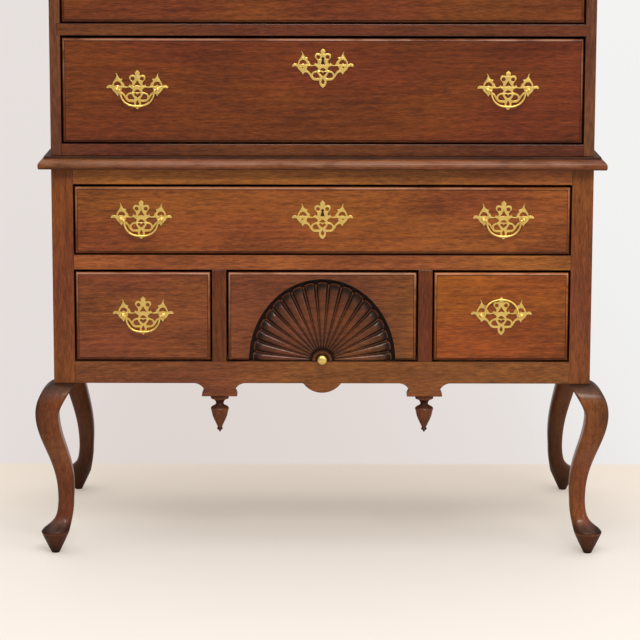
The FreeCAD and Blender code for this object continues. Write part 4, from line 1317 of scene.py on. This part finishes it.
@dataclass
class CarvedShell:
    """The centre drawer's board and the scallop shell that is sunk in it, with its sizes in millimetres."""

    half_width: float = 138.5
    height: float = 156.7
    margin: float = 7.0
    depth: float = 13.0
    pitch: float = 9.73
    boss: float = 21.0
    relief: float = 5.4
    columns: int = 557
    rows: int = 97
    to_boss: float = 0.18
    to_wall: float = 0.9
    strip: float = 0.8
    inner: float = 0.15
    arch_steps: int = 120
    arch_foot: float = 10.0

    def tree(self) -> GeometryGraph:
        """The shell's face, as a grid that is spread over a half ellipse and carved by rule.

        A column of the grid runs out from the boss: to_boss of it lies on the boss, it meets the wall at
        to_wall, and the rest goes down into the trench at the wall's foot, its first share inner straight
        down. Across, a lobe takes the share strip of half its pitch, and the strip between two lobes the rest.

        Returns:
            The tree, which needs a place and a finish.
        """
        sizes = {"Half Width": self.half_width, "Height": self.height, "Margin": self.margin, "Depth": self.depth,
                 "Pitch": math.radians(self.pitch), "Boss": self.boss, "Relief": self.relief}
        inputs = {name: ("Float", value) for name, value in sizes.items()}
        graph = GeometryGraph("carved_shell", {**inputs, "Place": ("Vector", None)})
        grid = graph.node("GeometryNodeMeshGrid", {}, {
            "Size X": (self.columns - 1) / 30, "Size Y": 1.0, "Vertices X": self.columns, "Vertices Y": self.rows})
        lobes, along, _ = graph.split(graph.node("GeometryNodeInputPosition"))
        along = along + 0.5
        angle = (lobes * graph.given("Pitch")).least(math.pi / 2).most(-math.pi / 2)
        sine, cosine = graph.math("SINE", angle), graph.math("COSINE", angle)

        # across a lobe, from its middle at 0 to the middle of the strip at 1
        across = graph.math("ABSOLUTE", lobes - graph.math("ROUND", lobes)) * 2.0
        round_off = across / self.strip
        lobe = (1.0 - round_off * round_off).most(0.0) ** 0.55
        crown = lobe.most(((across - self.strip) / 0.07).clamp() * 0.42)

        def oval(spare: "Term | float") -> Term:
            """How far out the half ellipse lies.

            Args:
                spare: how much larger it is made.

            Returns:
                The distance from its middle.
            """
            wide = sine / (graph.given("Half Width") + spare)
            tall = cosine / (graph.given("Height") + spare)
            return 1.0 / graph.math("SQRT", wide * wide + tall * tall)

        # along a lobe, from the boss to its rounded tip and down to the wall's foot
        end_off = across / 0.86
        end_round = 1.0 - graph.math("SQRT", (1.0 - end_off * end_off).most(0.0))
        tip = oval(0.0 - graph.given("Margin")) - end_round * 4.0 - across.step(0.82, 0.9) * 0.6
        wall = oval(0.3)
        share = ((along - self.to_boss) / (self.to_wall - self.to_boss)).clamp()
        sweep = 1.0 - (1.0 - share) ** 1.5
        drop = ((along - self.to_wall) / (1.0 - self.to_wall)).clamp()
        down = (drop / self.inner).least(1.0)
        outwards = ((drop - self.inner) / (1.0 - self.inner)).most(0.0)
        radius = graph.given("Boss") * (along / self.to_boss).least(1.0) + (tip - graph.given("Boss")) * sweep
        radius = radius + down * 0.8 + outwards * (wall - tip - 0.8)

        # how deep each point lies below the field
        relief = 0.6 + graph.given("Relief") * (radius / wall)
        scoop = sweep.step(0.84, 0.95) * sweep.step(0.998, 0.978) * lobe
        deep = 5.5 - 3.0 * graph.math("SINE", sweep * math.pi) + relief * (1.0 - crown) + scoop * 2.4
        deep = deep + sweep.step(0.03, 0.0) * 2.5
        ring = radius.step(7.5, 10.5) * radius.step(14.0, 11.5)
        knob_seat = 1.0 + ring * 2.6 + radius.step(18.2, 20.8) * 6.0
        on_boss = along.step(self.to_boss + 0.0001, self.to_boss - 0.0001)
        deep = deep + (knob_seat - deep) * on_boss
        deep = deep + (graph.given("Depth") - deep) * down

        # painted shade between the lobes, in their scoops, towards the boss and the tips, in the knob's ring and
        # at the boss's edge and down in the trench, and a painted highlight along the tips' rims
        groove = 1.0 - (graph.math("ABSOLUTE", across - self.strip) / 0.13).least(1.0)
        dark = (1.0 - crown) * 0.35 + groove * 0.6 + scoop * 0.55 + sweep.step(0.05, 0.0) * 0.7
        dark = dark + sweep.step(0.4, 0.0) * 0.35 + sweep.step(0.45, 0.9) * sweep.step(0.998, 0.98) * 0.45
        dark = dark - sweep.step(0.978, 0.992) * (1.0 - drop.step(0.0, 0.05)) * 0.9
        dark = dark + (ring * 0.6 + 0.3 + radius.step(17.5, 20.5) * 0.8 - dark) * on_boss
        dark = dark.most(drop.step(0.0, 0.1)).least(1.0).most(-0.6)
        stored = graph.node("GeometryNodeStoreNamedAttribute", {"data_type": "FLOAT", "domain": "POINT"}, {
            "Geometry": grid, "Name": "hollow", "Value": dark})
        spot = graph.vector("SCALE", graph.join(radius * sine, deep, radius * cosine))
        spot.socket.node.inputs["Scale"].default_value = MM
        spot = graph.vector("ADD", spot, graph.given("Place"))
        graph.end(graph.node("GeometryNodeSetPosition", {}, {"Geometry": stored, "Position": spot}))
        return graph

    def build_shell(self, finish: bpy.types.Material) -> None:
        """Makes the shell, closed behind.

        Args:
            finish: the carving's finish.
        """
        low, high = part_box("shell_drawer_front")
        place = (0.0, FRONT_PLANE - FIELD_PROUD, low.z)
        mesh = self.tree().run(bpy.data.meshes.new("shell"), {"Place": place, "Finish": finish})
        shape = bmesh.new()
        shape.from_mesh(mesh)
        bmesh.ops.remove_doubles(shape, verts=shape.verts, dist=2 * WELD)
        rim = [edge for edge in shape.edges if edge.is_boundary]
        made = bmesh.ops.extrude_edge_only(shape, edges=rim)["geom"]
        for vertex in made:
            if isinstance(vertex, bmesh.types.BMVert):
                vertex.co.y = high.y
        bmesh.ops.edgeloop_fill(shape, edges=[e for e in made if isinstance(e, bmesh.types.BMEdge)])
        shape.to_mesh(mesh)
        shape.free()
        piece = Builder.object_from(mesh, "carved_shell", [], 50.0)
        Builder.settle(piece, "shell_drawer", Slot.MAHOGANY)

    def build_board(self, finish: bpy.types.Material) -> None:
        """Makes the board round the shell, with its thumbnail edge.

        Args:
            finish: the board's finish.
        """
        low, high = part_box("shell_drawer_front")
        front = DrawerFront()
        made = Form()
        made.loft(front.rings(low, high))
        piece = made.build("shell_drawer_board", [finish], 30.0)
        cutter = Form()
        turns = [math.pi * step / self.arch_steps for step in range(self.arch_steps + 1)]
        arch = [(self.half_width * math.cos(t) * MM, self.height * math.sin(t) * MM) for t in turns]
        arch += [(side * self.half_width * MM, -self.arch_foot * MM) for side in (-1, 1)]
        cutter.loft([[Vector((x, y, low.z + z)) for x, z in arch] for y in (low.y - 0.02, high.y + 0.02)])
        knife = cutter.build("knife", [])
        cut = piece.modifiers.new("cut", "BOOLEAN")
        cut.operation, cut.solver, cut.object = "DIFFERENCE", "EXACT", knife
        Builder.bake(piece)
        bpy.data.objects.remove(knife)
        piece.data.shade_smooth()
        piece.data.set_sharp_from_angle(angle=math.radians(30))
        edge_rule = front.hollow(low, high)

        def rule(point: Vector) -> float:
            """How dark one point is made: on the opening's wall, darker the further back it lies.

            Args:
                point: the point.

            Returns:
                The depth.
            """
            reach = math.hypot(point.x / self.half_width, (point.z - low.z) / self.height) / MM
            if reach < 1.002:
                return 0.35 + (point.y - FRONT_PLANE) / 0.012
            return edge_rule(point)

        Builder.shade(piece, rule)
        Builder.settle(piece, "shell_drawer", Slot.MAHOGANY, "shell_drawer_front")


# ---------------------------------------------------------------- brasses
def outline_points(text: str) -> list[Point]:
    """A smooth line through the points that a text lists.

    Args:
        text: "x,y" pairs in millimetres, where a c after a pair keeps it a corner.

    Returns:
        The points along the line, none of them twice running.
    """
    points = []
    for pair in text.split():
        x, y = pair.rstrip("c").split(",")
        points += [(float(x), float(y))] * (2 if pair.endswith("c") else 1)
    line = smooth_line(points)
    return [point for point, before in zip(line, [None, *line]) if point != before]


@dataclass
class PiercedPlate:
    """A cast plate with a scrolled outline and openings, in millimetres about the middle of its posts."""

    half_outline: str = (
        "0,36c 4.2,32.2c 4.9,30.1 4.2,26.3c 12.6,26.7 15.6,20.4 11,13.6 9.6,10.3c 11.5,7 14.7,9.4c 17,5.6 20,4.9 "
        "23,6 24.8,10.6c 28.6,14.9 27,18.7c 31,19.4c 34,21.6 36,25 37.4,28.4 40.4,30.8c 38.9,27 39,24 40.6,20.4 "
        "43.4,15.8 45.7,12 47.2,6.9c 53.9,7.8 57.7,3.5 55.6,1.4 52.2,2.3c 48,1 45.5,-3.2 39.6,-9.1c 37.1,-13.7c "
        "34.5,-9.9c 31.2,-9.1 27,-11.6 22.7,-18.4 17.7,-23.4 11,-24.3 6.7,-24.3c 6.9,-27.6 5,-33.5 0,-38.2c")
    pairs: tuple[str, ...] = (
        "29.9,6.8c 32.2,11.9 37,14 41.4,12 44,6.6c 40,6.8 37,7.9c 33.5,6.5 29.9,6.8c",
        "9,-1.2c 14.7,2.9 21,2.2 28,2.6c 30,-3.6c 25.2,-7.4 21.9,-11.8c 17.7,-7.4 10,-4.6c 9,-1.2c",
        "11.2,-9.2c 16.5,-11 18.2,-15.5 14.8,-19.2 5.5,-19c 8.6,-13.5 11.2,-9.2c",
    )
    centres: tuple[str, ...] = (
        "-5.9,-4.9c 0,-0.7 5.9,-4.9c 0,-6.2 -5.9,-4.9c",
        "0,-15.8c 4.6,-11.9 5.9,-9.1 3.2,-8.0 0,-10.6c -3.2,-8.0 -5.9,-9.1 -4.6,-11.9 0,-15.8c",
        "0,-20.9c 2.7,-26.5 0,-30.8 -2.7,-26.5 0,-20.9c",
    )
    volute: Triple = (8.7, 19.4, 3.4)
    keyhole: str = "1.3,14.9c 2.5,17 0,19.5 -2.5,17 -1.3,14.9c -3.7,5.6c 3.7,5.6c 1.3,14.9c"
    eye: str = "0,16c 6,6.5c 0,7.3 -6,6.5c 0,16c"
    thickness: float = 1.5
    edge: float = 0.3
    slimmed: float = 0.3
    pin_spread: float = 38.1
    pin_radius: float = 1.3

    def outlines(self, keyhole: bool) -> list[list[Point]]:
        """The plate's outline and then its openings.

        Args:
            keyhole: whether it is a keyhole's plate, and not a pull's.

        Returns:
            The loops of points.
        """
        half = outline_points(self.half_outline)
        whole = half + [(-x, y) for x, y in half[-2:0:-1]]
        loops = [whole]
        for text in self.pairs:
            loop = outline_points(text)
            loops += [loop, [(-x, y) for x, y in loop]]
        loops += [outline_points(text) for text in (*self.centres, self.keyhole if keyhole else self.eye)]
        x, y, radius = self.volute
        for side in (-1, 1):
            loops.append(arc_points((side * x, y), radius, 0, 345, 23))
            if keyhole:
                loops.append(arc_points((side * self.pin_spread, 0), self.pin_radius, 0, 330, 11))
        return loops

    def mesh(self, keyhole: bool) -> bpy.types.Mesh:
        """The plate as a mesh, its back at y = 0 and its face towards -y.

        Args:
            keyhole: whether it is a keyhole's plate, and not a pull's.

        Returns:
            The mesh, in metres.
        """
        curve = bpy.data.curves.new("plate", "CURVE")
        curve.dimensions, curve.fill_mode = "2D", "BOTH"
        curve.extrude = self.thickness / 2 - self.edge
        curve.bevel_depth, curve.bevel_resolution, curve.offset = self.edge, 1, -self.edge - self.slimmed
        for loop in self.outlines(keyhole):
            if math.dist(loop[0], loop[-1]) < 1e-6:
                loop = loop[:-1]
            spline = curve.splines.new("POLY")
            spline.points.add(len(loop) - 1)
            for point, (x, y) in zip(spline.points, loop):
                point.co = (x, y, 0, 1)
            spline.use_cyclic_u = True
        carrier = bpy.data.objects.new("plate", curve)
        bpy.context.scene.collection.objects.link(carrier)
        made = bpy.data.meshes.new_from_object(carrier.evaluated_get(bpy.context.evaluated_depsgraph_get()))
        bpy.data.objects.remove(carrier)
        upright = Matrix(((1, 0, 0, 0), (0, 0, -1, -self.thickness / 2), (0, 1, 0, 0), (0, 0, 0, 1)))
        made.transform(Matrix.Scale(MM, 4) @ upright)
        return made


@dataclass
class Brasses:
    """The plates, posts, nuts and knob of every drawer, set out along its front, and the swinging bails."""

    boring: float = 0.0381
    bail_half: float = 31.8
    bail_depth: float = 31.0
    bail_ends: tuple[Point, ...] = ((40.6, 0.0), (36.5, 0.0), (33.9, -0.1), (32.6, -0.8))
    bend_steps: int = 24
    wire_rings: int = 97
    wire_sides: int = 14
    squareness: float = 2.35
    wire: float = 0.0018
    middle: float = 0.0024
    pin: float = 0.0011
    nut_half: float = 0.0045
    nut_thickness: float = 0.004
    shank: Point = (0.002, 0.024)
    shank_sides: int = 12
    turned_sides: int = 24
    post_outline: tuple[Point, ...] = (
        (3.5, 1.0), (3.7, 1.45), (3.6, 1.9), (3.1, 2.3), (2.4, 2.6), (1.9, 3.1), (1.7, 4.0), (1.75, 5.6),
        (2.2, 6.4), (2.8, 7.1), (3.2, 8.0), (3.35, 9.4), (3.2, 10.6), (2.7, 11.5), (1.9, 12.1), (1.0, 12.4),
        (0.05, 12.5))
    knob_outline: tuple[Point, ...] = (
        (6.4, -4.0), (6.4, 1.2), (5.9, 1.7), (4.3, 2.6), (4.0, 4.0), (4.2, 6.0), (5.2, 8.0), (7.2, 10.0),
        (8.7, 11.4), (9.25, 13.0), (9.3, 14.6), (8.9, 16.4), (7.7, 18.0), (5.6, 19.2), (3.0, 19.8), (0.05, 20.0))

    def set_out(self) -> GeometryGraph:
        """A tree that sets one piece at every given point.

        Returns:
            The tree, which needs a piece and a finish.
        """
        graph = GeometryGraph("set_out", {"Piece": ("Object", None)})
        piece = graph.node("GeometryNodeObjectInfo", {}, {"Object": graph.given("Piece")}, "Geometry")
        sockets = {"Points": graph.given("Geometry"), "Instance": piece}
        graph.end(graph.node("GeometryNodeInstanceOnPoints", {}, sockets))
        return graph

    def swept_bail(self) -> GeometryGraph:
        """A tree that sweeps round wire along the bail's line, thick in its middle and thin in its pins.

        Returns:
            The tree, which needs a finish.
        """
        graph = GeometryGraph("swept_bail", {
            "Wire": ("Float", self.wire), "Middle": ("Float", self.middle), "Pin": ("Float", self.pin),
            "Half Width": ("Float", self.bail_half * MM), "Steps": ("Int", self.wire_rings),
            "Sides": ("Int", self.wire_sides)})
        curve = graph.node("GeometryNodeMeshToCurve", {}, {"Mesh": graph.given("Geometry")})
        curve = graph.node("GeometryNodeResampleCurve", {}, {"Curve": curve, "Count": graph.given("Steps")})
        x, _, _ = graph.split(graph.node("GeometryNodeInputPosition"))
        reach = graph.math("ABSOLUTE", x)
        thick = reach.step(0.011, 0.003) - reach.step(0.0035, 0.0028) * reach.step(0.0015, 0.0023) * 0.5
        radius = graph.given("Wire") + (graph.given("Middle") - graph.given("Wire")) * thick
        past = (reach - graph.given("Half Width")).step(0.0006, 0.0022)
        radius = radius + (graph.given("Pin") - radius) * past
        ring = graph.node("GeometryNodeCurvePrimitiveCircle", {}, {
            "Resolution": graph.given("Sides"), "Radius": 1.0})
        swept = graph.node("GeometryNodeCurveToMesh", {}, {
            "Curve": curve, "Profile Curve": ring, "Scale": radius, "Fill Caps": True})
        graph.end(swept)
        return graph

    def bail_line(self) -> bpy.types.Mesh:
        """The bail's line from pin to pin, hanging from its pivot at the origin.

        Returns:
            A mesh of edges only.
        """
        half = list(self.bail_ends)
        for step in range(1, self.bend_steps + 1):
            turn = math.pi / 2 * step / self.bend_steps
            half.append((self.bail_half * math.cos(turn) ** (2 / self.squareness),
                         -self.bail_depth * math.sin(turn) ** (2 / self.squareness)))
        line = half + [(-x, z) for x, z in half[-2::-1]]
        mesh = bpy.data.meshes.new("bail_line")
        points = [(x * MM, 0.0, z * MM) for x, z in line]
        mesh.from_pydata(points, [(i, i + 1) for i in range(len(points) - 1)], [])
        return mesh

    @staticmethod
    def stand_out(x: float, y: float, height: float) -> Vector:
        """Where a point about an upright axis goes when the axis stands out from the drawer's face."""
        return Vector((x, -height, y))

    def turned(self, outline: Sequence[Point]) -> bpy.types.Object:
        """A turned brass that stands out from the field.

        Args:
            outline: its (radius, height) points in millimetres.

        Returns:
            The brass, as a pattern to set out.
        """
        made = Form()
        made.turn([(radius * MM, height * MM) for radius, height in outline], self.stand_out, self.turned_sides)
        return made.build("pattern", [])

    def patterns(self) -> dict[str, bpy.types.Object]:
        """One of each brass, about the point where it is set on a drawer.

        Returns:
            The patterns by kind, which are removed in the end.
        """
        made = {}
        for kind in ("plate", "keyhole"):
            made[kind] = bpy.data.objects.new("pattern", PiercedPlate().mesh(kind == "keyhole"))
            bpy.context.scene.collection.objects.link(made[kind])
        made["post"] = self.turned(self.post_outline)
        made["knob"] = self.turned(self.knob_outline)
        nut, half = Form(), self.nut_half
        nut.box(Vector((-half, -self.nut_thickness, -half)), Vector((half, 0.0, half)))
        radius, length = self.shank
        nut.turn([(radius, 0.0), (radius, length)], self.stand_out, self.shank_sides)
        made["nut"] = nut.build("pattern", [])
        return made

    def places(self, drawer: str, pulls: Sequence[Vector]) -> dict[str, list[Vector]]:
        """Where a drawer's brasses go.

        Args:
            drawer: the drawer's body.
            pulls: the pivots of its bails.

        Returns:
            The places by kind.
        """
        low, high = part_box(drawer + "_hardware")
        field = FRONT_PLANE - FIELD_PROUD
        if drawer == "shell_drawer":
            return {"knob": [Vector((0, field, (low.z + high.z) / 2))]}
        posts = [Vector((p.x + side * self.boring, field, p.z)) for p in pulls for side in (-1, 1)]
        places = {"plate": [Vector((p.x, field, p.z)) for p in pulls], "post": posts,
                  "nut": [Vector((p.x, high.y, p.z)) for p in posts]}
        if len(pulls) == 2:
            places["keyhole"] = [Vector((0, field, high.z - PLATE_BELOW_TOP))]
        return places

    def build(self, finish: bpy.types.Material) -> None:
        """Makes the brasses of every drawer, and then the bails.

        Args:
            finish: the brass.
        """
        patterns, tree, sweep = self.patterns(), self.set_out(), self.swept_bail()
        swings = [joint for joint in frame["joints"] if "_bail_" in joint["name"]]
        for node in sorted(node for node in frame["nodes"] if node.endswith("_hardware")):
            drawer = node.removesuffix("_hardware")
            pulls = [Vector(joint["pos_m"]) for joint in swings if joint["parent"] == drawer]
            made = Form()
            for kind, points in self.places(drawer, pulls).items():
                spots = bpy.data.meshes.new(kind)
                spots.from_pydata(points, [], [])
                made.take(tree.run(spots, {"Piece": patterns[kind], "Finish": finish}))
            piece = made.build(drawer + "_brasses", [finish], 40.0)
            Builder.settle(piece, drawer, Slot.BRASS, node)
        for joint in swings:
            wire = sweep.run(self.bail_line(), {"Finish": finish})
            furthest = min(joint["range_deg"])
            raised = furthest < -90  # this bail was left flipped up, and swings down
            turn = Matrix.Rotation(math.radians(furthest) if raised else 0.0, 4, "X")
            wire.transform(Matrix.Translation(Vector(joint["pos_m"])) @ turn)
            piece = Builder.object_from(wire, joint["child"] + "_wire", [], 60.0)
            Builder.settle(piece, joint["child"], Slot.BRASS, joint["child"])
        for pattern in patterns.values():
            bpy.data.objects.remove(pattern)


# ---------------------------------------------------------------- studio
@dataclass(frozen=True)
class Lamp:
    """A soft light: where it hangs, its width and height, and its power in watts."""

    name: str
    place: Triple
    size: Point
    power: float


@dataclass
class Studio:
    """The pale floor, the soft lights and the camera."""

    camera_place: Triple = (-0.0223, -5.0058, 1.3354)
    tilt: float = 9.425
    yaw: float = -0.193
    lean: float = -0.132
    lens: float = 144.31
    sensor: float = 36.0
    shift: float = -0.075
    floor: tuple[Triple, ...] = ((-25, -15, 0), (25, -15, 0), (25, 90, 0), (-25, 90, 0))
    lamps: tuple[Lamp, ...] = (
        Lamp("key", (0.3, -2.6, 3.0), (1.6, 0.8), 62.0), Lamp("fill", (2.8, -2.4, 1.7), (1.6, 1.6), 20.0))
    aim: Triple = (0.0, 0.0, 0.6)
    ambient: float = 0.42
    overhead: float = 1.7
    backdrop: float = 0.8
    sky: Colour = (1.0, 0.99, 0.97)

    def build(self) -> None:
        """Sets the stage."""
        floor = Form()
        floor.add([Vector(corner) for corner in self.floor], [(0, 1, 2, 3)])
        floor.build("pale_floor", [PaleFloor().build()])
        for lamp in self.lamps:
            self.hang(lamp)
        self.world()
        self.camera()
        bpy.context.scene.view_settings.view_transform = "Standard"

    def hang(self, lamp: Lamp) -> None:
        """Adds a light that faces the object's middle.

        Args:
            lamp: what it is like.
        """
        light = bpy.data.lights.new(lamp.name, "AREA")
        light.shape, light.energy = "RECTANGLE", lamp.power
        light.size, light.size_y = lamp.size
        made = bpy.data.objects.new(lamp.name, light)
        made.location = lamp.place
        aim = Vector(self.aim) - Vector(lamp.place)
        made.rotation_euler = aim.to_track_quat("-Z", "Y").to_euler()
        bpy.context.scene.collection.objects.link(made)

    def world(self) -> None:
        """Lights the stage from all round and more from above, with a plain backdrop for the camera."""
        world = bpy.data.worlds.new("studio")
        bpy.context.scene.world = world
        world.use_nodes = True
        graph = Graph(world.node_tree)
        _, _, up = graph.split(graph.node("ShaderNodeTexCoord", {}, {}, "Generated"))
        seen = graph.node("ShaderNodeLightPath", {}, {}, "Is Camera Ray")
        light = self.ambient + up.step(0.5, 0.95) * self.overhead
        light = light + (self.backdrop - light) * seen
        shader = graph.node("ShaderNodeBackground", {}, {"Color": (*self.sky, 1.0), "Strength": light})
        graph.node("ShaderNodeOutputWorld", {}, {"Surface": shader})

    def camera(self) -> None:
        """Adds the camera."""
        lens = bpy.data.cameras.new("camera")
        lens.lens, lens.sensor_width, lens.shift_y = self.lens, self.sensor, self.shift
        made = bpy.data.objects.new("camera", lens)
        made.location = self.camera_place
        made.rotation_euler = (math.radians(90 - self.tilt), math.radians(self.lean), math.radians(self.yaw))
        bpy.context.scene.collection.objects.link(made)
        bpy.context.scene.camera = made


# ---------------------------------------------------------------- the highboy
CASE_WOODS = (
    PolishedWood("post_right", Grain.ALONG_Z, (0.187, 0.051, 0.0115), (0.2, 0.4, 0.1), contrast=0.9, shows_wear_and_light=True),
    PolishedWood("post_left", Grain.ALONG_Z, (0.163, 0.0405, 0.0088), (0.9, 0.7, 0.3), contrast=0.9, shows_wear_and_light=True),
    # darker than the front posts, as painted shade on the rear legs
    PolishedWood("rear_post", Grain.ALONG_Z, (0.12, 0.033, 0.01), (0.5, 0.2, 0.6), contrast=0.7, shows_wear_and_light=True),
    PolishedWood("moulding", Grain.ALONG_X, (0.14, 0.04, 0.012), (0.4, 0.3, 0.2), coat=0.15, shows_wear_and_light=True),
    PolishedWood("moulding_return", Grain.ALONG_Y, (0.14, 0.04, 0.012), (0.4, 0.3, 0.2), coat=0.15, shows_wear_and_light=True),
    PolishedWood("apron", Grain.ALONG_X, (0.17, 0.05, 0.0126), (0.1, 0.06, -0.3), 0.05, shows_wear_and_light=True),
    PolishedWood("rail", Grain.ALONG_X, (0.25, 0.074, 0.015), (0.7, 0.5, 0.2), shows_wear_and_light=True),
    PolishedWood("upper_rail", Grain.ALONG_X, (0.11, 0.0275, 0.0083), (0.9, 0.5, 0.7), shows_wear_and_light=True),
    PolishedWood("divider", Grain.ALONG_Z, (0.107, 0.0235, 0.0038), (0.5, 0.3, 0.2), shows_wear_and_light=True),
    PolishedWood("side", Grain.ALONG_Z, (0.113, 0.0365, 0.0135), (0.3, 0.1, 0.4), 0.04),
    PolishedWood("top", Grain.ALONG_X, (0.17, 0.05, 0.014), (0.3, 0.1, 0.4), 0.04),
    PolishedWood("back_board", Grain.ALONG_X, (0.3, 0.165, 0.07), (0.2, 0.3, 0.45), coat=0.05,
                 mottle=0.5, contrast=0.7, roughness=0.6, shows_wear_and_light=True),
    PolishedWood("secondary_wood", Grain.ALONG_Y, (0.44, 0.27, 0.125), coat=0.05,
                 mottle=0.25, contrast=0.6, roughness=0.6),
)
FRONT_TONES = {
    "lower_long_drawer": (0.208, 0.0545, 0.0102), "lower_left_drawer": (0.175, 0.044, 0.012),
    "lower_right_drawer": (0.23, 0.056, 0.006), "shell_drawer": (0.18, 0.051, 0.0125),
    "upper_deep_drawer": (0.127, 0.0262, 0.0047),
}
UPPER_TONE = (0.14, 0.033, 0.006)
CARVED_TONE = (0.13, 0.035, 0.0065)
LOCKED_DRAWERS = ("long", "deep", "middle", "shallow")  # in the name of each drawer that has a keyhole


def build_drawers(boxes: bpy.types.Material) -> None:
    """Builds every drawer's front, each cut from a board of its own, and dresses its box.

    Args:
        boxes: the finish of the boxes.
    """
    fronts = sorted(node for node in frame["nodes"] if node.endswith("_front"))
    for number, drawer in enumerate(node.removesuffix("_front") for node in fronts):
        pith = (0.37 * number, 0.3 + 0.05 * number, 0.55 - 0.13 * number)
        keyhole = 0.0
        if any(word in drawer for word in LOCKED_DRAWERS):
            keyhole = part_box(drawer + "_hardware")[1].z - PLATE_BELOW_TOP + KEYHOLE_ABOVE_PLATE
        tone = FRONT_TONES.get(drawer, UPPER_TONE)
        board = PolishedWood(drawer + "_wood", Grain.ALONG_X, tone, pith, shows_wear_and_light=True, keyhole=keyhole).build()
        if drawer == "shell_drawer":
            carving = PolishedWood("carved_wood", Grain.ALONG_X, CARVED_TONE, pith, coat=0.45, roughness=0.33,
                                   shows_wear_and_light=True)
            CarvedShell().build_shell(carving.build())
            CarvedShell().build_board(board)
        else:
            DrawerFront().build(drawer, board)
        dress_node(drawer + "_box", boxes)


def main() -> None:
    """Builds the highboy, piece by piece."""
    logging.basicConfig(level=logging.INFO, format="%(message)s")
    finishes = {wood.name: wood.build() for wood in CASE_WOODS}
    brass = CastBrass().build()
    CabrioleLeg().build(finishes)
    TurnedDrops().build(finishes)
    Mouldings().build(finishes)
    CaseBoards().build(finishes)
    build_drawers(finishes["secondary_wood"])
    Brasses().build(brass)
    Studio().build()


if __name__ == "__main__":
    main()
